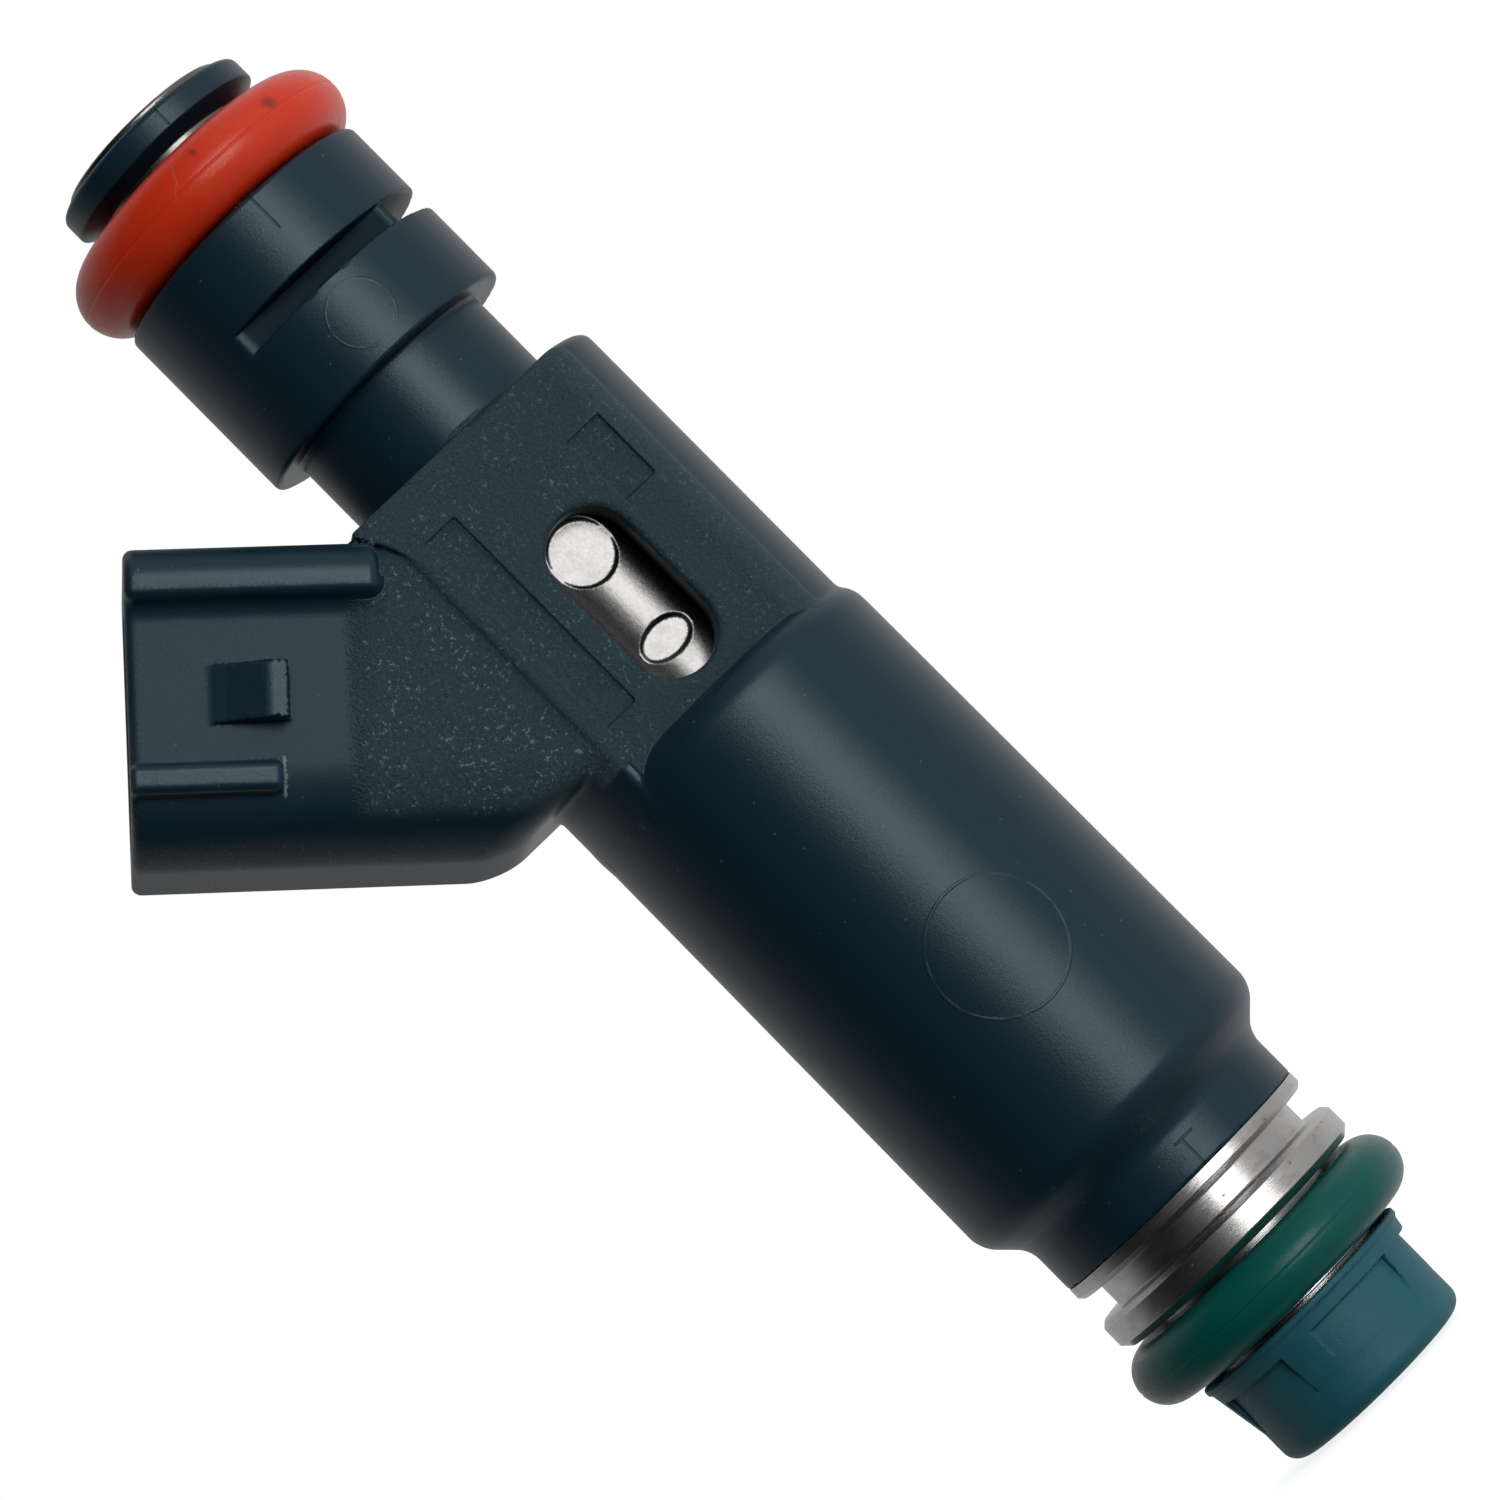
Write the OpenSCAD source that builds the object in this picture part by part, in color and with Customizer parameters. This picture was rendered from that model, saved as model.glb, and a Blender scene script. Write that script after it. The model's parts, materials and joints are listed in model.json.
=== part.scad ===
// Top-feed fuel injector, drawn about its own axis.
// The origin is the centre of the spray outlet's end plane. +Z runs up the axis to the
// fuel inlet, the electrical connector leans out over -X, and the housing's marked flat
// faces -Y.

/* [Fuel tube] */
// Height of the inlet lip above the spray outlet
inlet_top_z = 74.2; // [74.0:0.1:74.8]
// Radius of the tube inside the housing
tube_r = 4; // [3.95:0.01:4]
// Radius of the tube where the upper O-ring sits
gland_r = 3.8; // [3.6:0.05:3.8]
// Radius of the rolled lip at the inlet
lip_r = 4.3; // [4.1:0.1:4.5]
// Radius of the mouth at the inlet
mouth_r = 3.2; // [3.1:0.05:3.3]
// Depth of the mouth, down to the filter's bore
mouth_depth = 2; // [1.8:0.1:2.2]
// Radius of the bore that holds the filter
inlet_bore_r = 2.9; // [2.8:0.05:2.95]
// Radius of the bore that holds the adjuster sleeve
core_bore_r = 1.75; // [1.7:0.01:1.8]
// Depth of the two staking flats pressed into the tube
stake_depth = 0.3; // [0.2:0.05:0.5]

/* [Upper seal] */
// Cord radius of the upper O-ring
upper_cord_r = 1.74; // [1.6:0.02:1.74]
// Height of the upper O-ring's centre
upper_ring_z = 70; // [69.9:0.05:70.2]
// Outer radius of the O-ring retainer
retainer_r = 5; // [4.8:0.1:5.4]
// Height of the retainer's underside
retainer_z = 72.3; // [72.2:0.05:72.4]

/* [Collar and neck] */
// Radius of the clip collar
collar_r = 6.5; // [6.3:0.1:6.6]
// Height of the collar's upper face
collar_top_z = 68.1; // [67.9:0.05:68.15]
// Height of the collar's lower face
collar_z = 59.25; // [58.5:0.25:60]
// Radius of the neck under the collar
neck_r = 5.15; // [5:0.05:5.5]
// Width of the clip slot along the axis
clip_slot_w = 1.1; // [1:0.1:1.4]
// Height of the clip slot's lower edge
clip_slot_z = 63.3; // [62.5:0.1:64]
// Distance from the axis to the slot's front and back floors
clip_floor = 4.9; // [4.7:0.1:5.2]
// Distance from the axis to the slot's side floor
clip_side = 4.2; // [4.1:0.1:4.6]

/* [Block] */
// Height of the block's top face
block_top_z = 55; // [54.6:0.1:55.4]
// Radius of the block on the side away from the connector
block_r = 7.4; // [7.2:0.1:7.7]
// Distance from the axis to the block's two flats
block_flat = 5.6; // [5.5:0.05:5.8]
// Width of the window over the staked tube
window_w = 3.9; // [3.5:0.1:4.1]
// Height of the window's lower end
window_z = 41; // [40.8:0.1:41.4]
// Length of the window along the axis
window_l = 8.5; // [8:0.1:8.8]
// Depth of the two blank label panels
panel_depth = 0.18; // [0.05:0.01:0.2]

/* [Barrel] */
// Radius of the barrel at its upper end
barrel_r = 7.85; // [7.8:0.05:7.9]
// Height of the shoulder between barrel and block
barrel_top_z = 40.1; // [39.9:0.1:40.3]
// Extra radius at the barrel's lower end
barrel_draft = 0.12; // [0:0.02:0.14]
// Height where the lower cone leaves the sleeve
cone_z = 14.2; // [14:0.1:14.3]
// Radius of the plastic sleeve under the cone
sleeve_r = 6.5; // [6.4:0.05:6.6]

/* [Connector] */
// Lean of the connector's axis away from the injector's axis
conn_lean = 48; // [46:1:50]
// Height where the connector's axis meets the injector's axis
conn_root_z = 39.9; // [39.7:0.1:40.1]
// Distance from that point to the connector's mouth
conn_reach = 24.5; // [24:0.1:25]
// Half width of the shroud, across the lean
shroud_v = 6.5; // [6.4:0.05:6.7]
// Half thickness of the shroud, along Y
shroud_y = 5.35; // [5.1:0.05:5.5]
// Wall thickness of the shroud
shroud_wall = 1.3; // [1.1:0.1:1.4]
// Radius of the shroud's keyed corner
key_r = 4; // [3.6:0.1:4.2]
// Depth of the socket
socket_depth = 11; // [10.5:0.1:11.5]
// Height of the connector's level underside
conn_under_z = 41; // [40.9:0.1:41.2]
// Height of the upper guide ridge above the shroud's face
ridge_h = 0.95; // [0.7:0.05:1.1]
// Length of the upper guide ridge from the connector's mouth
ridge_l = 10.5; // [9.5:0.25:11]
// Height of the lower guide rib above the shroud's face
rib_h = 0.55; // [0.4:0.05:0.7]
// Length of the lower guide rib from the connector's mouth
rib_l = 6.3; // [5.5:0.1:7]
// Height of the latch ramp above the shroud's face
latch_h = 1.1; // [0.8:0.1:1.3]
// Width of each contact blade
blade_w = 2.3; // [2:0.1:2.4]
// Thickness of each contact blade
blade_t = 0.8; // [0.6:0.05:0.8]
// Spacing of the two contact blades
blade_pitch = 4.8; // [4.6:0.1:5]
// Length of blade that stands clear in the socket
blade_clear = 6.5; // [6:0.1:6.6]

/* [Valve body] */
// Radius of the mounting flange
flange_r = 6.63; // [6.4:0.05:6.8]
// Height of the flange's lower face
flange_z = 8.35; // [8.3:0.05:8.5]
// Radius of the groove above the flange
groove_r = 5.45; // [5.2:0.05:5.6]
// Radius of the lower O-ring's seat
lower_gland_r = 4.55; // [4.4:0.05:4.6]
// Radius of the nose inside the cap
nose_r = 4.2; // [4.1:0.05:4.25]

/* [Lower seal] */
// Cord radius of the lower O-ring
lower_cord_r = 1.44; // [1.35:0.01:1.44]
// Height of the lower O-ring's centre
lower_ring_z = 6.64; // [6.6:0.02:6.7]

/* [Nozzle cap] */
// Height of the cap's rim
cap_top_z = 4.9; // [4.7:0.05:4.95]
// Radius of the cap's rim
cap_rim_r = 5.5; // [5.3:0.05:5.7]
// Radius of the cap's straight part
cap_r = 4.94; // [4.8:0.02:5]
// Radius of the spray outlet
outlet_r = 2.6; // [2.4:0.1:2.8]
// Number of grip pockets round the cap
cap_pockets = 5; // [4:1:6]

/* [Solenoid] */
// Outer radius of the steel yoke
yoke_r = 7; // [6.8:0.05:7]
// Wall thickness of the yoke
yoke_wall = 0.7; // [0.6:0.05:0.8]
// Height of the yoke's lower end
yoke_z = 16; // [15.9:0.1:16.2]
// Height of the yoke's upper end
yoke_top_z = 36; // [35.8:0.1:36.4]
// Outer radius of the winding
winding_r = 5.9; // [5.5:0.1:6]

/* [Valve train] */
// Travel of the needle between its seat and the core
lift = 0.08; // [0.05:0.01:0.1]
// Radial clearance of the armature in its bore
armature_gap = 0.03; // [0.02:0.01:0.05]
// Radius of the armature's bore
guide_r = 3.5; // [3.45:0.01:3.5]
// Radius of the valve ball
ball_r = 1.6; // [1.5:0.02:1.64]
// Radius of the needle rod
rod_r = 1.1; // [1:0.05:1.2]
// Wire radius of the return spring
wire_r = 0.25; // [0.2:0.01:0.28]
// Number of turns of the return spring
spring_turns = 8; // [6:1:9]

/* [Hidden] */

round_fn = 96;
arc_steps = 6;
beyond = 20;

plastic = [0.13, 0.19, 0.24];
cap_teal = [0.10, 0.36, 0.42];
ring_red = [0.72, 0.20, 0.12];
ring_green = [0.05, 0.38, 0.33];
steel = [0.72, 0.72, 0.71];
dark_steel = [0.45, 0.46, 0.48];
copper = [0.72, 0.40, 0.20];
brass = [0.78, 0.62, 0.32];
bobbin_white = [0.85, 0.83, 0.76];
seal_black = [0.08, 0.08, 0.09];

// Levels up the axis
nose_z = 1.2;
plate_z = 1.8;
seat_z = 2;
seat_top_z = 5.6;
shim_top_z = 6;
ring_z = 11.15;
sleeve_z = 11.86;
guide_z = 14;
holder_top_z = 18.5;
core_z = 22.45;
core_step_z = 24.5;
adjuster_z = 31.5;
adjuster_top_z = 49;
filter_seat_z = 52;
tube_step_z = 66;

// Solenoid stack
seal_cord_r = 0.38;
seal_space = 0.8;
yoke_floor = 1.2;
washer_t = 1;
flange_t = 0.8;
bobbin_r = 6.2;
bobbin_bore_r = tube_r + 0.05;
winding_in_r = tube_r + 0.6;
yoke_in_r = yoke_r - yoke_wall;
holder_r = 5.6;
floor_z = yoke_z + yoke_floor;
bobbin_z = floor_z + seal_space;
bobbin_top_z = yoke_top_z - washer_t - seal_space;

// Valve train levels, with the ball 0.01 above its seat
rest_gap = 0.01;
seat_bore_r = 3;
sac_r = 0.45;
sac_top_z = 2.45;
ball_z = sac_top_z - sac_r + ball_r * sqrt(2) + rest_gap;
ball_guide_r = ball_r + 0.02;
armature_r = guide_r - armature_gap;
armature_z = 14.6;
armature_top_z = core_z - lift - rest_gap;
rod_top_z = 16.6;
spring_z = 19;
spring_seat_r = 1.6;
spring_r = 1.25;
rod_bore_r = 0.7;
adjuster_bore_r = 0.85;

// Connector levels, along its own axis from the root
socket_floor = conn_reach - socket_depth;
blade_tip = socket_floor + blade_clear;
leg_x = -5.9;
leg_w = 0.9;
leg_y = 0.7;

// Points on an arc about [cx, cy] from angle a0 to a1
function arc(cx, cy, r, a0, a1, n = arc_steps) =
    [for (i = [0:n]) let (a = a0 + (a1 - a0) * i / n) [cx + r * cos(a), cy + r * sin(a)]];

// Place in the XZ plane of a point t along the connector's axis and v across it
function conn_xz(t, v) =
    [v * cos(conn_lean) - t * sin(conn_lean), conn_root_z + t * cos(conn_lean) + v * sin(conn_lean)];

// Point on the line at v across the connector where x has a given value
function conn_at_x(x, v) = conn_xz((v * cos(conn_lean) - x) / sin(conn_lean), v);

module turned(points) {
    rotate_extrude($fn = round_fn) polygon(points);
}

module ring(r_in, r_out, z0, z1) {
    difference() {
        translate([0, 0, z0]) cylinder(r = r_out, h = z1 - z0, $fn = round_fn);
        translate([0, 0, z0 - 1]) cylinder(r = r_in, h = z1 - z0 + 2, $fn = round_fn);
    }
}

module o_ring(r_inner, cord_r, z) {
    translate([0, 0, z]) rotate_extrude($fn = round_fn)
        translate([r_inner + cord_r + rest_gap, 0]) circle(r = cord_r, $fn = 48);
}

// Draws its children with +Z along the connector's axis and +X across its lean
module along_connector() {
    translate([0, 0, conn_root_z]) rotate([0, -conn_lean, 0]) children();
}

// Outline drawn in the XZ plane and given a thickness along Y
module xz_plate(points, y0, y1) {
    translate([0, y1, 0]) rotate([90, 0, 0]) linear_extrude(height = y1 - y0) polygon(points);
}

// ---- Housing ----

barrel_low_r = barrel_r + barrel_draft;
cone_h = barrel_low_r - sleeve_r;
inner_fillet = 0.4;
outer_fillet = 0.5;
shoulder_fillet = 1.5;
tan_22 = tan(22.5);

module housing_lower() {
    low = cone_z + cone_h + outer_fillet * tan_22;
    turned(concat(
        [[0, sleeve_z], [sleeve_r - 0.05, sleeve_z]],
        arc(sleeve_r + inner_fillet, cone_z - inner_fillet * tan_22, inner_fillet, 180, 135),
        arc(barrel_low_r - outer_fillet, low, outer_fillet, -45, 0),
        arc(barrel_r - shoulder_fillet, barrel_top_z - shoulder_fillet, shoulder_fillet, 0, 90),
        [[0, barrel_top_z]]));
}

module housing_upper() {
    edge = 0.2;
    turned([[0, block_top_z - 1], [neck_r, block_top_z - 1], [neck_r, collar_z],
        [collar_r - edge, collar_z], [collar_r, collar_z + edge],
        [collar_r, collar_top_z - edge], [collar_r - edge, collar_top_z], [0, collar_top_z]]);
}

module rounded_post(r, top_fillet) {
    turned(concat([[0, barrel_top_z - 2], [r, barrel_top_z - 2]],
        arc(r - top_fillet, block_top_z - top_fillet, top_fillet, 0, 90),
        [[0, block_top_z]]));
}

// Part of the block between its flats, out to a given radius
module post_between_flats(r, wide) {
    low = barrel_top_z - 3;
    intersection() {
        rounded_post(r, 0.5);
        translate([-beyond, -block_flat, low])
            cube([wide, 2 * block_flat, block_top_z + 1 - low]);
    }
}

// The flats widen towards the connector near the block's top, along a parabola
module block_ear() {
    left_x = -5.5;
    reach = 1.3;
    low = 51.5;
    tall = block_top_z - low;
    xz_plate(concat([[0, block_top_z], [0, low]],
        [for (i = [0:8]) let (u = i / 8) [left_x - reach * u * u, low + tall * u]]),
        -block_flat, block_flat);
}

module housing_block() {
    post_between_flats(block_r, 2 * beyond);
    post_between_flats(barrel_r, beyond);
    block_ear();
}

// Cross-section of the shroud, or of its socket when wall is above zero
module shroud_section(wall = 0) {
    v = shroud_v - wall;
    y = shroud_y - wall;
    corner = 1 - wall / 3;
    polygon(concat(
        arc(key_r - shroud_v, key_r - shroud_y, key_r - wall, 180, 270, 8),
        arc(v - corner, -y + corner, corner, 270, 360, 4),
        arc(v - corner, y - corner, corner, 0, 90, 4),
        arc(corner - v, y - corner, corner, 90, 180, 4)));
}

// Ridge along the upper edge, rolling over into the shroud's upper side
module guide_ridge() {
    base_v = 3.9;
    crest_v = 4.4;
    roll = 1.5;
    translate([0, 0, conn_reach - ridge_l]) linear_extrude(height = ridge_l)
        polygon(concat(
            [[base_v, 1 - shroud_y], [base_v, -shroud_y], [crest_v, -shroud_y - ridge_h]],
            arc(shroud_v - roll, roll - shroud_y - ridge_h, roll, 270, 360),
            [[shroud_v, 1 - shroud_y]]));
}

module guide_rib() {
    v0 = -3.9;
    v1 = -2.6;
    slope = 0.2;
    translate([0, 0, conn_reach - rib_l]) linear_extrude(height = rib_l)
        polygon([[v0, 1 - shroud_y], [v0, -shroud_y], [v0 + slope, -shroud_y - rib_h],
            [v1 - slope, -shroud_y - rib_h], [v1, -shroud_y], [v1, 1 - shroud_y]]);
}

// Ramp that the harness plug's latch rides over, with its square back towards the root
module latch_ramp() {
    ramp_w = 2.45;
    ramp_v = 0.25;
    start = conn_reach - 3.35;
    crest = conn_reach - 5.75;
    back = conn_reach - 6.6;
    translate([ramp_v - ramp_w / 2, 0, 0]) rotate([90, 0, 90]) linear_extrude(height = ramp_w)
        polygon([[1 - shroud_y, start], [-shroud_y, start], [-shroud_y - latch_h, crest],
            [-shroud_y - latch_h, back], [-shroud_y, back], [1 - shroud_y, back]]);
}

module housing_connector() {
    intersection() {
        along_connector() translate([0, 0, 1])
            linear_extrude(height = conn_reach - 1) shroud_section();
        translate([-2 * beyond, -beyond, conn_under_z]) cube([2 * beyond, 2 * beyond, 2 * beyond]);
    }
    along_connector() {
        guide_ridge();
        guide_rib();
        latch_ramp();
    }
}

module clip_slot() {
    translate([-beyond, -beyond, clip_slot_z]) cube([2 * beyond, beyond - clip_floor, clip_slot_w]);
    translate([-beyond, clip_floor, clip_slot_z]) cube([2 * beyond, beyond, clip_slot_w]);
    translate([clip_side, -beyond, clip_slot_z]) cube([beyond, 2 * beyond, clip_slot_w]);
}

module window() {
    r = window_w / 2;
    depth = 5;
    translate([-r, -depth - 3.4, window_z + r]) cube([window_w, depth, window_l - window_w]);
    for (z = [window_z + r, window_z + window_l - r])
        translate([0, -3.4, z]) rotate([90, 0, 0]) cylinder(r = r, h = depth, $fn = round_fn);
}

// Blank recessed panel, given by its centre and size on the marked flat
module label_panel(x, z, wide, tall) {
    translate([x - wide / 2, -block_flat - 1, z - tall / 2]) cube([wide, 1 + panel_depth, tall]);
}

module socket() {
    along_connector() translate([0, 0, socket_floor])
        linear_extrude(height = socket_depth + 5) shroud_section(shroud_wall);
}

module housing() {
    color(plastic) difference() {
        union() {
            housing_lower();
            housing_upper();
            housing_block();
            housing_connector();
        }
        translate([0, 0, yoke_top_z - 1]) cylinder(r = tube_r, h = tube_step_z - yoke_top_z + 1,
            $fn = round_fn);
        translate([0, 0, tube_step_z - 1]) cylinder(r = gland_r, h = beyond, $fn = round_fn);
        translate([0, 0, yoke_z]) cylinder(r = yoke_r, h = yoke_top_z - yoke_z, $fn = round_fn);
        translate([0, 0, sleeve_z - 1]) cylinder(r = holder_r, h = yoke_z - sleeve_z + 2,
            $fn = round_fn);
        clip_slot();
        window();
        label_panel(x = -3.95, z = 47.25, wide = 1.7, tall = 10.7);
        label_panel(x = 3.4, z = 49.9, wide = 1.8, tall = 3.4);
        socket();
        upper_blade();
        lower_blade();
    }
}

// ---- Seals, retainer and cap ----

module o_ring_retainer() {
    edge = 0.25;
    top = inlet_top_z - 0.33;
    color(plastic) turned([[gland_r, retainer_z], [gland_r + 0.1, retainer_z],
        [retainer_r, retainer_z + 0.43], [retainer_r, top - edge], [retainer_r - edge, top],
        [gland_r, top]]);
}

module upper_o_ring() {
    color(ring_red) o_ring(gland_r, upper_cord_r, upper_ring_z);
}

module lower_o_ring() {
    color(ring_green) o_ring(lower_gland_r, lower_cord_r, lower_ring_z);
}

// Shallow grip pocket in the cap's flared part
module cap_pocket() {
    half = 26.5;
    far = 8;
    intersection() {
        ring(cap_r + 0.02, far, 2.3, 3.9);
        linear_extrude(height = cap_top_z)
            polygon([[0, 0], [far * cos(half), -far * sin(half)],
                [far * cos(half), far * sin(half)]]);
    }
}

module nozzle_cap() {
    round_r = 0.75;
    color(cap_teal) difference() {
        turned(concat(
            [[outlet_r, 0]],
            arc(cap_r - round_r, round_r, round_r, -90, 0),
            [[cap_r, 2.2], [cap_rim_r - 0.12, 4.4], [cap_rim_r, cap_top_z - 0.4],
                [cap_rim_r - 0.1, cap_top_z], [nose_r, cap_top_z], [nose_r, nose_z],
                [outlet_r, nose_z]]));
        for (i = [0:cap_pockets - 1]) rotate([0, 0, i * 360 / cap_pockets - 80.5]) cap_pocket();
    }
}

// ---- Fuel tube and what it holds ----

// Flat pressed into the front of the tube by an oval staking punch
module stake_mark(z, half_w, half_h) {
    translate([0, stake_depth - tube_r, z]) rotate([90, 0, 0]) scale([half_w, half_h, 1])
        cylinder(r = 1, h = 2, $fn = round_fn);
}

module inlet_tube() {
    lip_z = inlet_top_z - 0.33;
    taper = inlet_bore_r - core_bore_r;
    color(steel) difference() {
        turned([[core_bore_r, core_z], [guide_r, core_z], [guide_r, core_step_z],
            [tube_r, core_step_z], [tube_r, tube_step_z], [gland_r, tube_step_z],
            [gland_r, lip_z], [lip_r - 0.1, lip_z], [lip_r, lip_z + 0.1],
            [lip_r - 0.25, inlet_top_z], [mouth_r, inlet_top_z],
            [mouth_r, inlet_top_z - mouth_depth], [inlet_bore_r, inlet_top_z - mouth_depth],
            [inlet_bore_r, filter_seat_z + taper], [core_bore_r, filter_seat_z]]);
        stake_mark(z = 48, half_w = 1.45, half_h = 1.45);
        stake_mark(z = 43, half_w = 1.2, half_h = 0.75);
    }
}

// Filter basket levels and radii
filter_floor_z = 59.2;
filter_mesh_z = 60;
filter_head_z = 69.4;
filter_collar_z = 70.2;
filter_mesh_r = 1.9;
filter_neck_r = 2.35;
filter_rib_r = 2.3;

module filter_collar() {
    color(brass) ring(filter_neck_r, inlet_bore_r, filter_collar_z, filter_collar_z + 1.6);
}

module filter_frame() {
    ribs = 4;
    rib_w = 0.6;
    rib_z = filter_mesh_z - 0.4;
    color(bobbin_white) {
        ring(filter_mesh_r, filter_neck_r, filter_head_z, filter_collar_z + 1.4);
        ring(filter_mesh_r, inlet_bore_r - 0.1, filter_head_z, filter_collar_z);
        translate([0, 0, filter_floor_z])
            cylinder(r = filter_rib_r, h = filter_mesh_z - filter_floor_z, $fn = round_fn);
        for (i = [0:ribs - 1]) intersection() {
            ring(filter_mesh_r, filter_rib_r, rib_z, filter_head_z + 0.4);
            rotate([0, 0, i * 360 / ribs]) translate([0, -rib_w / 2, rib_z - 1])
                cube([4, rib_w, 12]);
        }
    }
}

module filter_mesh() {
    color(steel) ring(filter_mesh_r - 0.1, filter_mesh_r, filter_mesh_z, filter_head_z);
}

module adjuster_sleeve() {
    color(dark_steel) ring(adjuster_bore_r, core_bore_r, adjuster_z, adjuster_top_z);
}

// Coil spring swept along its helix; the end turns lie almost flat
spring_sides = 6;
spring_steps = 20;
spring_rings = spring_turns * spring_steps;
end_turn = 0.12;

function spring_rise(u) =
    u < end_turn ? u * 0.3
    : u > 1 - end_turn ? 1 - (1 - u) * 0.3
    : 0.3 * end_turn + (u - end_turn) * (1 - 0.6 * end_turn) / (1 - 2 * end_turn);

module return_spring() {
    z0 = spring_z + wire_r + rest_gap;
    span = adjuster_z - spring_z - 2 * (wire_r + rest_gap);
    points = [for (i = [0:spring_rings]) for (j = [0:spring_sides - 1])
        let (u = i / spring_rings, a = 360 * spring_turns * u, b = 360 * j / spring_sides,
            r = spring_r + wire_r * cos(b))
        [r * cos(a), r * sin(a), z0 + span * spring_rise(u) + wire_r * sin(b)]];
    sides = [for (i = [0:spring_rings - 1]) for (j = [0:spring_sides - 1])
        let (a = i * spring_sides + j, b = i * spring_sides + (j + 1) % spring_sides)
        [a, a + spring_sides, b + spring_sides, b]];
    first = [[for (j = [0:spring_sides - 1]) j]];
    last = [[for (j = [spring_sides - 1:-1:0]) spring_rings * spring_sides + j]];
    color(steel) polyhedron(points = points, faces = concat(sides, first, last));
}

// ---- Contacts ----

// Blade across v0 to v1, cut off where it meets its leg
module blade(v0, v1) {
    tip = 0.35;
    inner = leg_x + leg_w;
    xz_plate([conn_at_x(inner, v0), conn_at_x(inner, v1), conn_xz(blade_tip - tip, v1),
        conn_xz(blade_tip, v1 - tip), conn_xz(blade_tip, v0 + tip), conn_xz(blade_tip - tip, v0)],
        -blade_t / 2, blade_t / 2);
}

module upper_blade() {
    v0 = (blade_pitch - blade_w) / 2;
    join_z = conn_at_x(leg_x, v0)[1];
    blade(v0, v0 + blade_w);
    translate([leg_x, leg_y, bobbin_top_z]) cube([leg_w, blade_t, join_z + 1.5 - bobbin_top_z]);
    translate([leg_x, -blade_t / 2, join_z]) cube([leg_w, leg_y + blade_t, 1.5]);
}

module lower_blade() {
    v0 = -(blade_pitch + blade_w) / 2;
    join_z = conn_at_x(leg_x, v0)[1];
    blade(v0, v0 + blade_w);
    translate([leg_x, -leg_y - blade_t, bobbin_top_z])
        cube([leg_w, blade_t, join_z + 1.5 - bobbin_top_z]);
    translate([leg_x, -leg_y - blade_t / 2, join_z]) cube([leg_w, leg_y + blade_t, 1.5]);
}

module terminal_upper() {
    color(brass) upper_blade();
}

module terminal_lower() {
    color(brass) lower_blade();
}

// ---- Solenoid ----

module coil_bobbin() {
    color(bobbin_white) turned([[bobbin_bore_r, bobbin_z], [bobbin_r, bobbin_z],
        [bobbin_r, bobbin_z + flange_t], [winding_in_r, bobbin_z + flange_t],
        [winding_in_r, bobbin_top_z - flange_t], [bobbin_r, bobbin_top_z - flange_t],
        [bobbin_r, bobbin_top_z], [bobbin_bore_r, bobbin_top_z]]);
}

module coil_winding() {
    color(copper) ring(winding_in_r, winding_r, bobbin_z + flange_t, bobbin_top_z - flange_t);
}

module yoke_shell() {
    color(dark_steel) turned([[holder_r, yoke_z], [yoke_r, yoke_z], [yoke_r, yoke_top_z],
        [yoke_in_r, yoke_top_z], [yoke_in_r, floor_z], [holder_r, floor_z]]);
}

module yoke_washer() {
    slot_y = leg_y + blade_t + 0.2;
    color(dark_steel) difference() {
        ring(tube_r, yoke_in_r, yoke_top_z - washer_t, yoke_top_z);
        translate([leg_x - 2, -slot_y, yoke_top_z - washer_t - 1])
            cube([leg_w + 2.1, 2 * slot_y, washer_t + 2]);
    }
}

module isolation_ring() {
    color(steel) ring(guide_r, tube_r, holder_top_z, core_step_z);
}

module coil_seal_upper() {
    color(seal_black) o_ring(tube_r, seal_cord_r, bobbin_top_z + seal_space / 2);
}

module coil_seal_lower() {
    color(seal_black) o_ring(tube_r, seal_cord_r, floor_z + seal_space / 2);
}

// ---- Valve ----

module valve_holder() {
    passage_r = 2.4;
    color(steel) turned([[seat_bore_r, nose_z], [nose_r - 0.2, nose_z], [nose_r, nose_z + 0.2],
        [nose_r, cap_top_z + 0.1], [lower_gland_r, cap_top_z + 0.1], [lower_gland_r, flange_z],
        [flange_r - 0.4, flange_z], [flange_r, flange_z + 0.35], [flange_r, flange_z + 1.3],
        [flange_r - 0.25, flange_z + 1.55], [groove_r, flange_z + 1.55], [groove_r, ring_z],
        [sleeve_r - 0.2, ring_z], [sleeve_r, ring_z + 0.2], [sleeve_r, sleeve_z],
        [holder_r, sleeve_z], [holder_r, floor_z], [tube_r, floor_z], [tube_r, holder_top_z],
        [guide_r, holder_top_z], [guide_r, guide_z], [passage_r, guide_z],
        [passage_r, shim_top_z], [seat_bore_r, shim_top_z]]);
}

module armature() {
    color(dark_steel) turned([[rod_r, armature_z], [armature_r, armature_z],
        [armature_r, armature_top_z], [spring_seat_r, armature_top_z],
        [spring_seat_r, spring_z], [1, spring_z], [1, rod_top_z], [rod_r, rod_top_z]]);
}

module needle_rod() {
    low = ball_z + 1;
    color(steel) difference() {
        translate([0, 0, low]) cylinder(r = rod_r, h = rod_top_z - low, $fn = round_fn);
        translate([0, 0, ball_z]) sphere(r = ball_r, $fn = round_fn);
        translate([0, 0, ball_z + 2.4]) cylinder(r = rod_bore_r, h = beyond, $fn = round_fn);
        for (a = [0, 90]) rotate([0, 0, a]) translate([-3, 0, 8.2]) rotate([0, 90, 0])
            cylinder(r = 0.35, h = 6, $fn = 32);
    }
}

module valve_ball() {
    color(steel) translate([0, 0, ball_z]) sphere(r = ball_r, $fn = round_fn);
}

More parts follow.
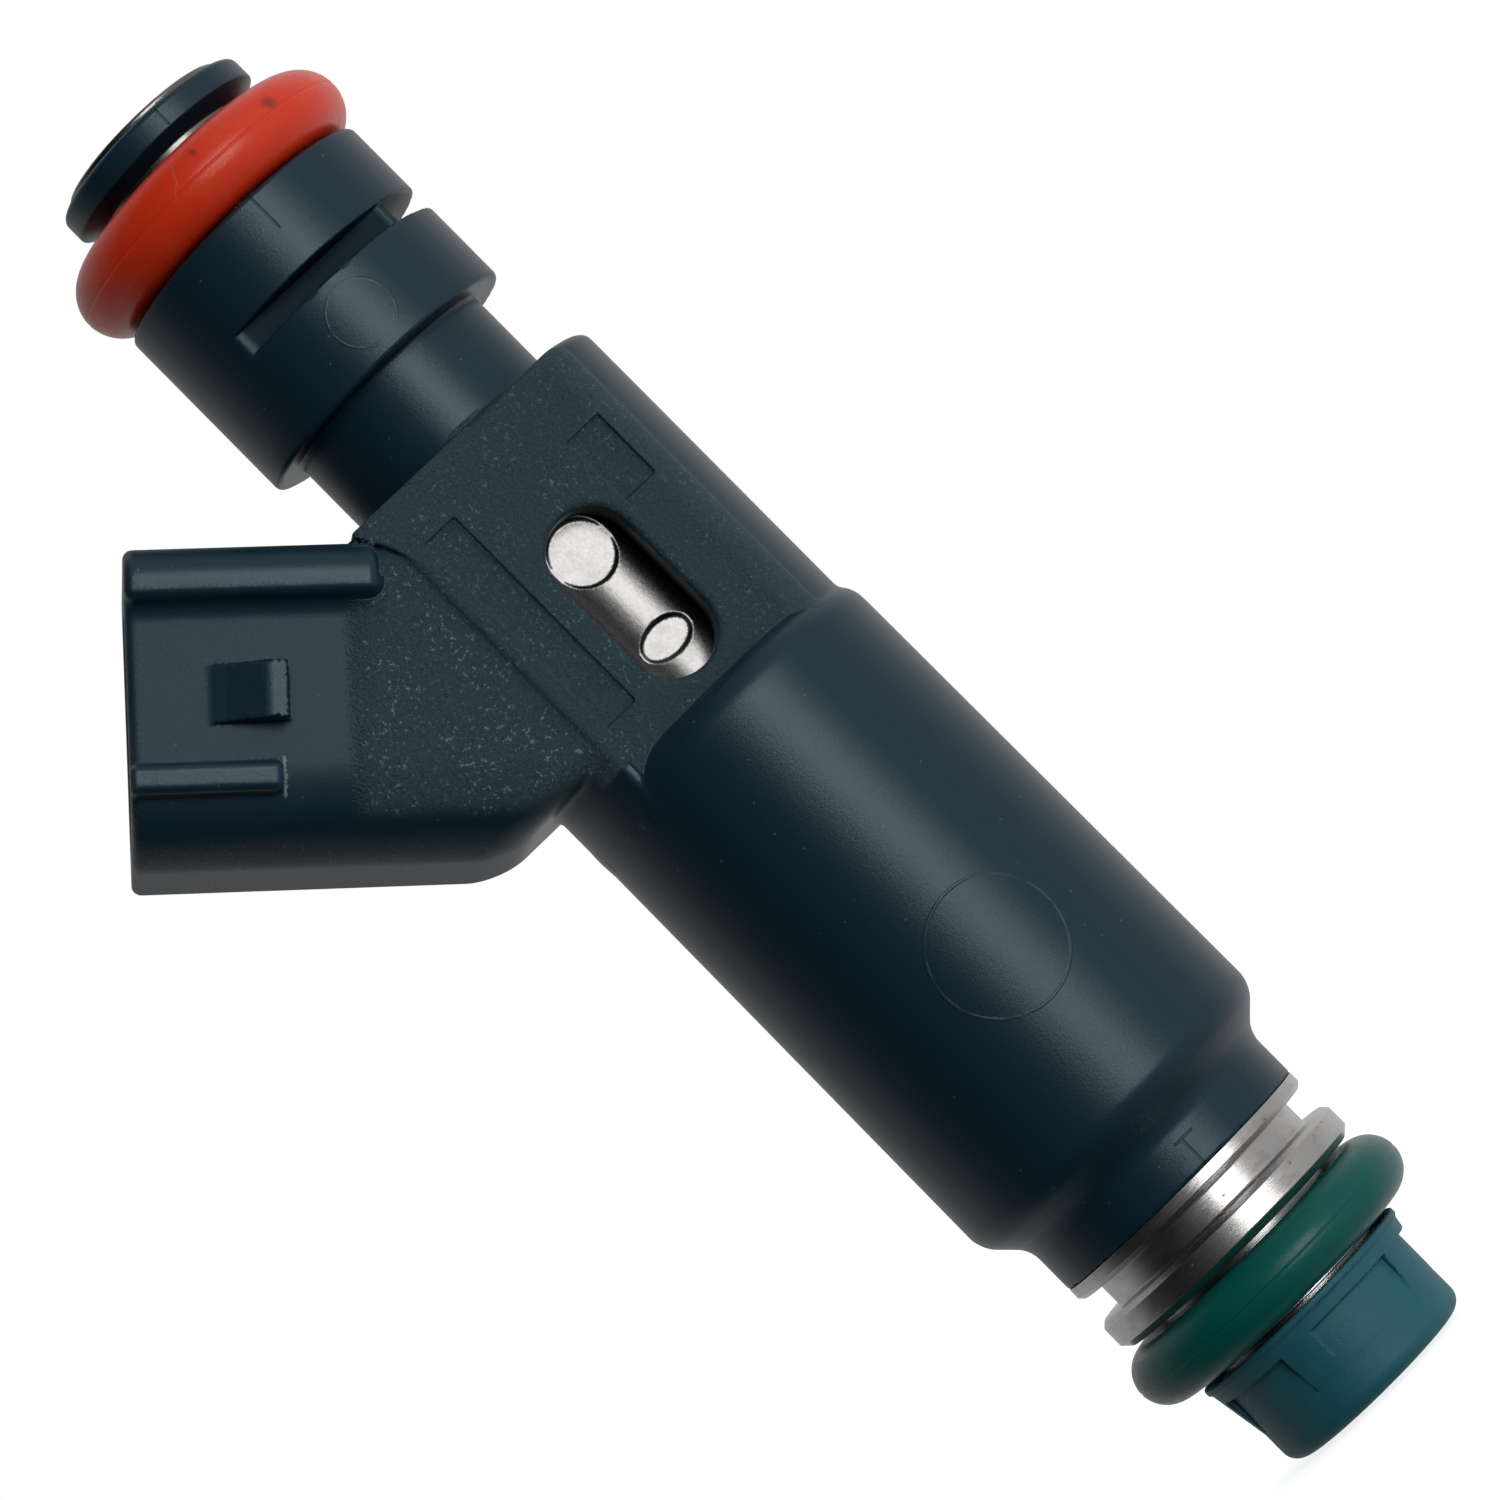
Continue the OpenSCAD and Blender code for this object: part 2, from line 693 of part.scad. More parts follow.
module valve_seat() {
    cone_top_z = sac_top_z + ball_guide_r - sac_r;
    flutes = 4;
    color(dark_steel) difference() {
        turned([[sac_r, seat_z], [seat_bore_r, seat_z], [seat_bore_r, seat_top_z],
            [ball_guide_r, seat_top_z], [ball_guide_r, cone_top_z], [sac_r, sac_top_z]]);
        for (i = [0:flutes - 1]) rotate([0, 0, i * 360 / flutes + 45])
            translate([1.8, 0, 3.4]) cylinder(r = 0.5, h = 4, $fn = 32);
    }
}

module lift_shim() {
    color(steel) ring(2.4, seat_bore_r, seat_top_z, shim_top_z);
}

module orifice_plate() {
    holes = 4;
    color(steel) difference() {
        translate([0, 0, plate_z]) cylinder(r = seat_bore_r, h = seat_z - plate_z, $fn = round_fn);
        for (i = [0:holes - 1]) rotate([0, 0, i * 360 / holes])
            translate([0.28, 0, 0]) cylinder(r = 0.1, h = 4, $fn = 24);
    }
}

module plate_retainer() {
    color(dark_steel) ring(2, seat_bore_r, nose_z, plate_z);
}

housing();
o_ring_retainer();
upper_o_ring();
lower_o_ring();
nozzle_cap();
inlet_tube();
filter_collar();
filter_frame();
filter_mesh();
adjuster_sleeve();
return_spring();
terminal_upper();
terminal_lower();
coil_bobbin();
coil_winding();
yoke_shell();
yoke_washer();
isolation_ring();
coil_seal_upper();
coil_seal_lower();
valve_holder();
armature();
needle_rod();
valve_ball();
valve_seat();
lift_shim();
orifice_plate();
plate_retainer();
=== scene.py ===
"""Looks of a top-feed fuel injector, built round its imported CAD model. Lengths are in mm in
the shape functions, and become metres when a mesh is made."""

import json
import math

import bpy
import numpy as np
from mathutils import Matrix, Vector


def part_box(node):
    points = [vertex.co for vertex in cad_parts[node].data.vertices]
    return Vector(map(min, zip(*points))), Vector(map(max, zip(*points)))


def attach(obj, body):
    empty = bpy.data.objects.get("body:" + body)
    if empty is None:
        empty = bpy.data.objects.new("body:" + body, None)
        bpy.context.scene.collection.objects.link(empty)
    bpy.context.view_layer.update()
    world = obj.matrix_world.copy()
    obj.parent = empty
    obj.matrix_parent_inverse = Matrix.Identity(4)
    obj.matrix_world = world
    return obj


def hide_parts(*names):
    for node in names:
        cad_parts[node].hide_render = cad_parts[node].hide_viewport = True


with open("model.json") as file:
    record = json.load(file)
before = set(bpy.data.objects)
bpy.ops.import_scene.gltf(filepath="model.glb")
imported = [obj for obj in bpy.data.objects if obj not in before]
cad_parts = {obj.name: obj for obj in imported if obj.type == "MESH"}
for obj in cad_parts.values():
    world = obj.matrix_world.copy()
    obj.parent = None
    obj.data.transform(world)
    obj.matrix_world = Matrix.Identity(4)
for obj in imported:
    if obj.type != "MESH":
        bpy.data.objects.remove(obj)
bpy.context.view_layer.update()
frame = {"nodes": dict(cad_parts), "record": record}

MM = 0.001
BODY = "injector_body"
HOUSING_TRIANGLES = 190000
SMALL_TRIANGLES = 120000


# ---------------------------------------------------------------- distance fields

def box_mm(node):
    """A CAD node's lowest and highest corners, in mm."""
    low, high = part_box(node)
    return np.array(low) / MM, np.array(high) / MM


def join(a, b, r):
    """Union of two fields, with a fillet of radius r where they meet."""
    return np.maximum(r, np.minimum(a, b)) - np.hypot(np.maximum(r - a, 0), np.maximum(r - b, 0))


def keep(a, b, r):
    """Part of a that is inside b, with its new edge rounded to radius r."""
    return np.minimum(-r, np.maximum(a, b)) + np.hypot(np.maximum(r + a, 0), np.maximum(r + b, 0))


def cut(a, b, r):
    """a without b, with its new edge rounded to radius r."""
    return keep(a, -b, r)


def slab(c, low, high):
    return np.maximum(low - c, c - high)


def block(p, q, s, half, r):
    """Box of half sizes half about the origin of coordinates p, q, s, with edges of radius r."""
    e = [np.abs(c) - h + r for c, h in zip((p, q, s), half)]
    outside = np.sqrt(sum(np.maximum(c, 0) ** 2 for c in e))
    return outside + np.minimum(np.maximum(e[0], np.maximum(e[1], e[2])), 0) - r


def rounded_section(p, q, half_p, half_q, radii):
    """Rectangle with its own radius at each corner: (-p, -q), (+p, -q), (+p, +q), (-p, +q)."""
    r = np.where(q < 0, np.where(p < 0, radii[0], radii[1]), np.where(p < 0, radii[3], radii[2]))
    a = np.abs(p) - half_p + r
    b = np.abs(q) - half_q + r
    return np.minimum(np.maximum(a, b), 0) + np.hypot(np.maximum(a, 0), np.maximum(b, 0)) - r


# ---------------------------------------------------------------- meshes from fields

def grid_lines(low, high, step, zones=()):
    """Grid positions from low to high, step apart, or as far apart as the last zone that holds them
    says. A zone is (low, high, step)."""
    marks = [low]
    while marks[-1] < high:
        own = [s for a, b, s in zones if a <= marks[-1] < b]
        marks.append(marks[-1] + (own[-1] if own else step) * 1)
    return np.array(marks)


def sample(field, xs, ys, zs):
    """The field at every grid corner, a few layers at a time to save memory."""
    layers = [field(*np.meshgrid(xs, ys, zs[k:k + 24], indexing="ij")) for k in range(0, len(zs), 24)]
    return np.concatenate(layers, axis=2)


def slope(field, p, reach=0.004):
    """The field's gradient at points p."""
    out = np.empty_like(p)
    for axis in range(3):
        ahead, behind = p.copy(), p.copy()
        ahead[:, axis] += reach
        behind[:, axis] -= reach
        out[:, axis] = (field(*ahead.T) - field(*behind.T)) / (2 * reach)
    return out


def settle(field, p, passes):
    """Moves points p onto the surface where the field is zero."""
    for _ in range(passes):
        g = slope(field, p)
        size = np.maximum((g ** 2).sum(axis=1), 0.05)
        p = p - np.clip(field(*p.T) / size, -0.1, 0.1)[:, None] * g
    return p


def surface_net(field, xs, ys, zs):
    """Vertices and quads of the closed surface where the field is zero: one vertex in each grid cell
    that the surface crosses, settled onto the surface."""
    d = sample(field, xs, ys, zs)
    inside = d < 0
    corners = [(i, j, k) for i in (0, 1) for j in (0, 1) for k in (0, 1)]
    nx, ny, nz = (n - 1 for n in d.shape)
    count = sum(inside[i:nx + i, j:ny + j, k:nz + k].astype(np.int8) for i, j, k in corners)
    cells = np.argwhere((count > 0) & (count < 8))
    index = np.full((nx, ny, nz), -1)
    index[tuple(cells.T)] = np.arange(len(cells))
    total = np.zeros((len(cells), 3))
    hits = np.zeros(len(cells))
    axes = (xs, ys, zs)
    for a in corners:
        for axis in range(3):
            if a[axis]:
                continue
            b = tuple(1 if n == axis else a[n] for n in range(3))
            at_a = cells + np.array(a)
            at_b = cells + np.array(b)
            da, db = d[tuple(at_a.T)], d[tuple(at_b.T)]
            crossed = (da < 0) != (db < 0)
            share = np.where(crossed, da / np.where(crossed, da - db, 1), 0)[:, None]
            pa = np.stack([axes[n][at_a[:, n]] for n in range(3)], axis=1)
            pb = np.stack([axes[n][at_b[:, n]] for n in range(3)], axis=1)
            total += np.where(crossed[:, None], pa + share * (pb - pa), 0)
            hits += crossed
    vertices = settle(field, total / hits[:, None], 4)
    quads = []
    for axis in range(3):
        n1, n2 = (axis + 1) % 3, (axis + 2) % 3
        ahead = np.take(inside, range(1, inside.shape[axis]), axis)
        behind = np.take(inside, range(inside.shape[axis] - 1), axis)
        edges = np.argwhere(ahead != behind)
        edges = edges[(edges[:, n1] > 0) & (edges[:, n2] > 0)]
        edges = edges[(edges[:, n1] < index.shape[n1]) & (edges[:, n2] < index.shape[n2])]
        ring = []
        for da, db in ((1, 1), (0, 1), (0, 0), (1, 0)):
            at = edges.copy()
            at[:, n1] -= da
            at[:, n2] -= db
            ring.append(index[tuple(at.T)])
        faces = np.stack(ring, axis=1)
        flip = ~behind[tuple(edges.T)]
        faces[flip] = faces[flip][:, ::-1]
        quads.append(faces)
    return vertices, np.concatenate(quads)


def mesh_object(name, vertices, faces, material):
    mesh = bpy.data.meshes.new(name)
    mesh.from_pydata(np.asarray(vertices, float).tolist(), [], [list(map(int, f)) for f in faces])
    mesh.validate()
    piece = bpy.data.objects.new(name, mesh)
    bpy.context.scene.collection.objects.link(piece)
    mesh.materials.append(material)
    return piece


def bake_modifiers(piece):
    """Replaces the piece's mesh with the result of its modifiers."""
    graph = bpy.context.evaluated_depsgraph_get()
    made = bpy.data.meshes.new_from_object(piece.evaluated_get(graph))
    piece.modifiers.clear()
    piece.data = made


def edge_bands(vertices, faces, normals, rings=3):
    """True at vertices within a few faces of an edge or tight bend."""
    pairs = np.concatenate([faces[:, [k, (k + 1) % 4]] for k in range(4)])
    turn = (normals[pairs[:, 0]] * normals[pairs[:, 1]]).sum(axis=1)
    mark = np.zeros(len(vertices), bool)
    mark[pairs[turn < math.cos(math.radians(7))].ravel()] = True
    for _ in range(rings):
        mark[pairs[mark[pairs].any(axis=1)].ravel()] = True
    return mark


def unit_slope(field, p):
    n = slope(field, p)
    return n / np.maximum(np.linalg.norm(n, axis=1), 1e-9)[:, None]


def field_piece(name, field, xs, ys, zs, material, most):
    """Piece with the field's surface in at most that many triangles, thinned away from its edges,
    and shaded by the field's own normals."""
    vertices, quads = surface_net(field, xs, ys, zs)
    piece = mesh_object(name, vertices * MM, quads, material)
    if len(quads) * 2 > most:
        flat = ~edge_bands(vertices, quads, unit_slope(field, vertices))
        piece.vertex_groups.new(name="flat").add(np.flatnonzero(flat).tolist(), 1.0, "REPLACE")
        thin = piece.modifiers.new("thin", "DECIMATE")
        thin.ratio = most / (len(quads) * 2)
        thin.vertex_group = "flat"
        thin.vertex_group_factor = 10
        bake_modifiers(piece)
        piece.vertex_groups.clear()
    mesh = piece.data
    p = np.empty(len(mesh.vertices) * 3)
    mesh.vertices.foreach_get("co", p)
    p = settle(field, p.reshape(-1, 3) / MM, 2)
    mesh.vertices.foreach_set("co", (p * MM).ravel())
    mesh.shade_smooth()
    mesh.normals_split_custom_set_from_vertices(unit_slope(field, p).tolist())
    return piece


def lathe_outline(corners):
    """Closed outline (r, z) with each corner rounded, and its outward normals. The corners are
    (r, z, fillet radius), anticlockwise with r to the right and z up."""
    points, normals = [], []
    pts = np.array([c[:2] for c in corners], float)
    for i, (r, z, fillet) in enumerate(corners):
        here, before, after = pts[i], pts[i - 1], pts[(i + 1) % len(pts)]
        d0 = (here - before) / np.linalg.norm(here - before)
        d1 = (after - here) / np.linalg.norm(after - here)
        n0 = np.array([d0[1], -d0[0]])
        turn = math.atan2(d0[0] * d1[1] - d0[1] * d1[0], float(d0 @ d1))
        back = fillet * math.tan(abs(turn) / 2)
        side = math.copysign(1, turn)
        centre = here - back * d0 - side * fillet * n0
        steps = max(2, round(abs(math.degrees(turn)) / 12))
        for k in range(steps + 1):
            a = turn * k / steps
            n = np.array([n0[0] * math.cos(a) - n0[1] * math.sin(a),
                          n0[0] * math.sin(a) + n0[1] * math.cos(a)])
            points.append(centre + side * fillet * n)
            normals.append(n)
    return np.array(points), np.array(normals)


def circle_outline(r_centre, z_centre, radius, groove, count=120):
    """Section of an O-ring: a circle with a fine parting groove round the outside and the inside."""
    u = np.arange(count) * 2 * math.pi / count
    a = u - 0.45 * np.sin(2 * u)
    out = np.stack([np.cos(a), np.sin(a)], axis=1)
    depth = groove * np.exp(-(np.sin(a) / 0.03) ** 2)
    points = np.array([r_centre, z_centre]) + out * (radius - depth)[:, None]
    tangent = np.roll(points, -1, axis=0) - np.roll(points, 1, axis=0)
    tangent /= np.linalg.norm(tangent, axis=1)[:, None]
    return points, np.stack([tangent[:, 1], -tangent[:, 0]], axis=1)


def lathe_piece(name, outline, material, steps=240):
    """Piece turned about the Z axis from a closed outline and its normals."""
    points, normals = outline
    steps = steps
    a = np.arange(steps) * 2 * math.pi / steps
    ring = np.stack([np.cos(a), np.sin(a)], axis=1)

    def spin(pairs):
        flat = pairs[None, :, 0, None] * ring[:, None, :]
        up = np.broadcast_to(pairs[None, :, 1, None], (steps, len(pairs), 1))
        return np.concatenate([flat, up], axis=2).reshape(-1, 3)

    i, j = np.meshgrid(np.arange(steps), np.arange(len(points)), indexing="ij")
    i2, j2 = (i + 1) % steps, (j + 1) % len(points)
    corner = [a * len(points) + b for a, b in ((i, j), (i2, j), (i2, j2), (i, j2))]
    faces = np.stack([c.ravel() for c in corner], axis=1)
    piece = mesh_object(name, spin(points) * MM, faces, material)
    piece.data.shade_smooth()
    piece.data.normals_split_custom_set_from_vertices(spin(normals).tolist())
    return piece


# ---------------------------------------------------------------- materials

class Shader:
    """One material's nodes. Lengths in its textures are in mm, from the object's own coordinates."""

    def __init__(self, name, colour, roughness, metallic=0.0, specular=0.5):
        self.material = bpy.data.materials.new(name)
        self.material.use_nodes = True
        self.tree = self.material.node_tree
        self.bsdf = self.tree.nodes["Principled BSDF"]
        self.bsdf.inputs["Base Color"].default_value = (*colour, 1)
        self.bsdf.inputs["Roughness"].default_value = roughness
        self.bsdf.inputs["Metallic"].default_value = metallic
        self.bsdf.inputs["Specular IOR Level"].default_value = specular
        place = self.tree.nodes.new("ShaderNodeTexCoord")
        scaled = self.tree.nodes.new("ShaderNodeVectorMath")
        scaled.operation = "SCALE"
        scaled.inputs["Scale"].default_value = 1 / MM
        self.tree.links.new(place.outputs["Object"], scaled.inputs[0])
        self.place = scaled.outputs[0]
        split = self.tree.nodes.new("ShaderNodeSeparateXYZ")
        self.tree.links.new(self.place, split.inputs[0])
        self.x, self.y, self.z = split.outputs

    def plug(self, value, socket):
        if isinstance(value, bpy.types.NodeSocket):
            self.tree.links.new(value, socket)
        else:
            socket.default_value = value

    def math(self, operation, a, b=0.0):
        node = self.tree.nodes.new("ShaderNodeMath")
        node.operation = operation
        for value, socket in zip((a, b), node.inputs):
            self.plug(value, socket)
        return node.outputs[0]

    def add(self, a, b):
        return self.math("ADD", a, b)

    def sub(self, a, b):
        return self.math("SUBTRACT", a, b)

    def mul(self, a, b):
        return self.math("MULTIPLY", a, b)

    def step(self, value, low, high):
        """0 below low, 1 above high, smooth between; high below low turns it round."""
        node = self.tree.nodes.new("ShaderNodeMapRange")
        node.interpolation_type = "SMOOTHSTEP"
        self.plug(value, node.inputs["Value"])
        node.inputs["From Min"].default_value = min(low, high)
        node.inputs["From Max"].default_value = max(low, high)
        node.inputs["To Min"].default_value = 0.0 if low < high else 1.0
        node.inputs["To Max"].default_value = 1.0 if low < high else 0.0
        return node.outputs["Result"]

    def near(self, value, centre, half, soft):
        """1 where value is within half of centre, fading out over soft."""
        return self.step(self.math("ABSOLUTE", self.sub(value, centre)), half + soft, half)

    def stretch(self, scale):
        """Place, with each axis multiplied by its own scale."""
        node = self.tree.nodes.new("ShaderNodeVectorMath")
        node.operation = "MULTIPLY"
        self.plug(self.place, node.inputs[0])
        node.inputs[1].default_value = scale
        return node.outputs[0]

    def noise(self, scale, detail=2.0, rough=0.5, place=None):
        node = self.tree.nodes.new("ShaderNodeTexNoise")
        self.plug(place or self.place, node.inputs["Vector"])
        node.inputs["Scale"].default_value = scale
        node.inputs["Detail"].default_value = detail
        node.inputs["Roughness"].default_value = rough
        return node.outputs["Fac"]

    def cells(self, scale, place=None):
        """Distance from the nearest of scattered points."""
        node = self.tree.nodes.new("ShaderNodeTexVoronoi")
        self.plug(place or self.place, node.inputs["Vector"])
        node.inputs["Scale"].default_value = scale
        return node.outputs["Distance"]

    def tint(self, share, colour):
        """Mixes a colour over the base colour by share."""
        node = self.tree.nodes.new("ShaderNodeMix")
        node.data_type = "RGBA"
        base = self.bsdf.inputs["Base Color"]
        self.plug(share, node.inputs["Factor"])
        if base.is_linked:
            self.plug(base.links[0].from_socket, node.inputs["A"])
        else:
            node.inputs["A"].default_value = base.default_value
        node.inputs["B"].default_value = (*colour, 1)
        self.tree.links.new(node.outputs["Result"], base)

    def vary(self, socket_name, share, low, high):
        """Sets a socket of the surface to low where share is 0, and to high where it is 1."""
        node = self.tree.nodes.new("ShaderNodeMapRange")
        self.plug(share, node.inputs["Value"])
        node.inputs["To Min"].default_value = low
        node.inputs["To Max"].default_value = high
        self.tree.links.new(node.outputs["Result"], self.bsdf.inputs[socket_name])

    def rough(self, share, low, high):
        self.vary("Roughness", share, low, high)

    def shine(self, share, low, high):
        self.vary("Specular IOR Level", share, low, high)

    def bump(self, height, depth_mm):
        """Surface relief of depth_mm where height goes from 0 to 1, added to any there already."""
        node = self.tree.nodes.new("ShaderNodeBump")
        node.inputs["Distance"].default_value = depth_mm * MM
        self.plug(height, node.inputs["Height"])
        normal = self.bsdf.inputs["Normal"]
        if normal.is_linked:
            self.plug(normal.links[0].from_socket, node.inputs["Normal"])
        self.tree.links.new(node.outputs["Normal"], normal)

    def radius(self, x0=0.0, z0=None):
        """Distance from the Z axis, or from the line along Y through x0, z0."""
        across = self.sub(self.z, z0) if z0 is not None else self.y
        along = self.sub(self.x, x0)
        return self.math("SQRT", self.add(self.mul(along, along), self.mul(across, across)))


# ---------------------------------------------------------------- housing

HOUSING_LOW, HOUSING_HIGH = box_mm("housing")
TUBE_LOW, TUBE_HIGH = box_mm("inlet_tube")
YOKE_LOW, YOKE_HIGH = box_mm("yoke_shell")
CAP_LOW, CAP_HIGH = box_mm("nozzle_cap")
RETAINER_HIGH = box_mm("o_ring_retainer")[1]

SLEEVE_Z = HOUSING_LOW[2]
COLLAR_TOP_Z = HOUSING_HIGH[2]
BARREL_R = 7.85
BARREL_DRAFT = 0.12
BARREL_Z = 16.2
BARREL_TOP_Z = 40.1
SLEEVE_R = 6.5
CONE_Z = 14.2
BLOCK_R = 7.4
BLOCK_LEFT_R = 7.9
BLOCK_FLAT = 5.6
BLOCK_TOP_Z = 55
BLOCK_LEFT_X = -5.55
EAR_Z = 51.5
EAR_REACH = 1.3
NECK_R = 5.15
COLLAR_R = 6.5
COLLAR_Z = 59.25
TUBE_R = 4
HOLDER_R = 5.6
GLAND_R = 3.8
TUBE_STEP_Z = 66
SLOT_LOW_Z = 63.3
SLOT_HIGH_Z = 64.4
SLOT_FLOOR = 4.9
SLOT_SIDE = 4.2
WINDOW_HALF = 1.95
WINDOW_Z = (41, 49.5)
WINDOW_FLOOR_Y = -3.4
# Blank panels in the front flat: lowest and highest x, lowest and highest z
PANELS = ((-4.8, -3.1, 41.9, 52.6), (2.5, 4.3, 48.2, 51.6))
PANEL_DEPTH = 0.18
# Staking marks in the inlet tube: height, half width, half height
STAKES = ((48, 1.45, 1.45), (43, 1.2, 0.75))

# Connector. V runs across its lean, and the guides' places count back from its mouth
CONN_LEAN = math.radians(48)
CONN_ROOT_Z = 39.9
CONN_REACH = 24.5
CONN_UNDER_Z = 41
SHROUD_V = 6.5
SHROUD_Y = 5.35
SHROUD_CORNERS = (4, 1, 1, 1)
SHROUD_WALL = 1.3
SOCKET_CORNERS = (2.7, 0.6, 0.6, 0.6)
SOCKET_FLOOR = 13.5
RIDGE_LONG = 10.5
RIDGE_H = 0.95
RIDGE_CREST_V = (4.5, 4.95)
RIDGE_ROLL = 1.53
TROUGH_R = 0.92
RIB_V = -3.25
RIB_HALF = 0.65
RIB_H = 0.55
RIB_LONG = 6.3
LATCH_V = 0.25
LATCH_HALF = 1.22
LATCH_START = 3.35
LATCH_CREST = 5.75
LATCH_BACK = 6.6
LATCH_H = 1.1


def conn_coords(x, z):
    """Distance t along the connector's axis from its root, and v across it."""
    up = z - CONN_ROOT_Z
    t = -x * math.sin(CONN_LEAN) + up * math.cos(CONN_LEAN)
    v = x * math.cos(CONN_LEAN) + up * math.sin(CONN_LEAN)
    return t, v


def barrel_field(rho, z):
    """Drafted barrel over the coil, with the cone down to the sleeve."""
    side = rho - BARREL_R - BARREL_DRAFT * (BARREL_TOP_Z - z) / (BARREL_TOP_Z - BARREL_Z)
    cone = (rho - SLEEVE_R - z + CONE_Z) * math.sqrt(0.5)
    barrel = keep(keep(side, z - BARREL_TOP_Z, 1.5), cone, 0.45)
    sleeve = keep(np.maximum(rho - SLEEVE_R, z - CONE_Z - 3), SLEEVE_Z - z, 0.12)
    return join(barrel, sleeve, 0.35)


def block_field(x, y, z, rho):
    """Post between barrel and neck, with two flats and an ear that flares out at the upper left."""
    left = x < 0
    post = keep(rho - np.where(left, BLOCK_LEFT_R, BLOCK_R), z - BLOCK_TOP_Z,
                np.where(left, 0.45, 0.5))
    ear_x = BLOCK_LEFT_X - EAR_REACH * np.clip((z - EAR_Z) / (BLOCK_TOP_Z - EAR_Z), 0, 1) ** 2
    ear = keep(np.maximum(np.maximum(ear_x - x, x), EAR_Z - z), z - BLOCK_TOP_Z, 0.3)
    body = keep(np.minimum(post, ear), np.abs(y) - BLOCK_FLAT, np.where(left, 0.12, 0.5))
    return np.maximum(body, BARREL_TOP_Z - 2 - z)


def upper_field(rho, z):
    """Neck and clip collar."""
    neck = np.maximum(rho - NECK_R, np.maximum(BLOCK_TOP_Z - 2 - z, z - COLLAR_Z - 1))
    middle, half = (COLLAR_Z + COLLAR_TOP_Z) / 2, (COLLAR_TOP_Z - COLLAR_Z) / 2
    collar = keep(rho - COLLAR_R, np.abs(z - middle) - half, 0.22)
    return join(neck, collar, 0.15)


def shroud_field(t, v, y, z):
    """Shroud with the guides on its marked side, rounded at the mouth and level underneath."""
    shroud = np.maximum(rounded_section(v, y, SHROUD_V, SHROUD_Y, SHROUD_CORNERS), 1 - t)
    back = CONN_REACH - t
    depth = -SHROUD_Y - y
    ridge = ridge_field(depth, v, back)
    shroud = np.where(v < RIDGE_CREST_V[1], join(shroud, ridge, TROUGH_R), np.minimum(shroud, ridge))
    rib = block(v - RIB_V, depth, back, (RIB_HALF, RIB_H, RIB_LONG), 0.4)
    shroud = join(keep(shroud, -back, 0.4), keep(rib, -back, 0.25), 0.1)
    return keep(join(shroud, latch_field(depth, v, back), 0.06), CONN_UNDER_Z - z, 1.0)


def ridge_field(depth, v, back):
    """Guide ridge along the upper edge: a crest that rolls over into the upper side, and drops into a
    round trough on the other side."""
    crest = np.hypot(np.maximum(v - RIDGE_CREST_V[1], 0),
                     np.maximum(depth - RIDGE_H + RIDGE_ROLL, 0)) - RIDGE_ROLL
    ridge = np.maximum(keep(crest, RIDGE_CREST_V[0] - 0.3 - v, 0.4), -1 - depth)
    return keep(ridge, back - RIDGE_LONG, 0.5)


def latch_field(depth, v, back):
    """Ramp for the plug's latch, with a square back."""
    rise = LATCH_H / (LATCH_CREST - LATCH_START)
    ramp = (depth - (back - LATCH_START) * rise) / math.hypot(1, rise)
    latch = np.maximum(np.abs(v - LATCH_V) - LATCH_HALF, slab(depth, -0.8, LATCH_H))
    return keep(keep(latch, back - LATCH_BACK, 0.1), ramp, 0.08)


def window_field(x, y, z):
    """Round-ended window through the front flat, down to the inlet tube."""
    low, high = (WINDOW_Z[0] + WINDOW_HALF, WINDOW_Z[1] - WINDOW_HALF)
    over = np.maximum(np.abs(z - (low + high) / 2) - (high - low) / 2, 0)
    return np.maximum(np.hypot(x, over) - WINDOW_HALF, y - WINDOW_FLOOR_Y)


def housing_field(x, y, z):
    """The whole plastic housing, with its bores, window, panels, clip slot and socket."""
    rho = np.hypot(x, y)
    t, v = conn_coords(x, z)
    d = join(barrel_field(rho, z), block_field(x, y, z, rho), 0.12)
    d = join(d, upper_field(rho, z), 0.15)
    root = 0.12 + 0.28 * np.clip((CONN_UNDER_Z + 1.2 - z) / 1.2, 0, 1)
    d = join(d, shroud_field(t, v, y, z), root)
    d = cut(d, window_field(x, y, z), 0.35)
    for x0, x1, z0, z1 in PANELS:
        panel = block(x - (x0 + x1) / 2, y + BLOCK_FLAT, z - (z0 + z1) / 2,
                      ((x1 - x0) / 2, PANEL_DEPTH, (z1 - z0) / 2), 0.04)
        d = cut(d, panel, 0.04)
    slot = np.maximum(slab(z, SLOT_LOW_Z, SLOT_HIGH_Z),
                      np.minimum(SLOT_FLOOR - np.abs(y), SLOT_SIDE - x))
    d = cut(d, slot, 0.1)
    d = cut(d, np.maximum(rho - TUBE_R, z - TUBE_STEP_Z), 0.02)
    d = cut(d, rho - GLAND_R, 0.02)
    d = cut(d, np.maximum(rho - YOKE_HIGH[0], slab(z, YOKE_LOW[2], YOKE_HIGH[2])), 0.02)
    d = cut(d, np.maximum(rho - HOLDER_R, z - YOKE_LOW[2] - 1), 0.02)
    socket = rounded_section(v, y, SHROUD_V - SHROUD_WALL, SHROUD_Y - SHROUD_WALL, SOCKET_CORNERS)
    return cut(d, np.maximum(socket, SOCKET_FLOOR - t), 0.2)


def fine_near(*places, half=0.12, step=0.05):
    """Zones of close grid lines round each place."""
    return [(p - half, p + half, step) for p in places]


# ---------------------------------------------------------------- tube and cap

LIP_R = TUBE_HIGH[0]
LIP_Z = RETAINER_HIGH[2]
MOUTH_R = 3.2
MOUTH_DEPTH = 2
FILTER_BORE_R = 2.9
CORE_BORE_R = 1.75
FILTER_SEAT_Z = 52
STAKE_DEPTH = 0.3
POLE_R = 3.5
POLE_Z = 24.5


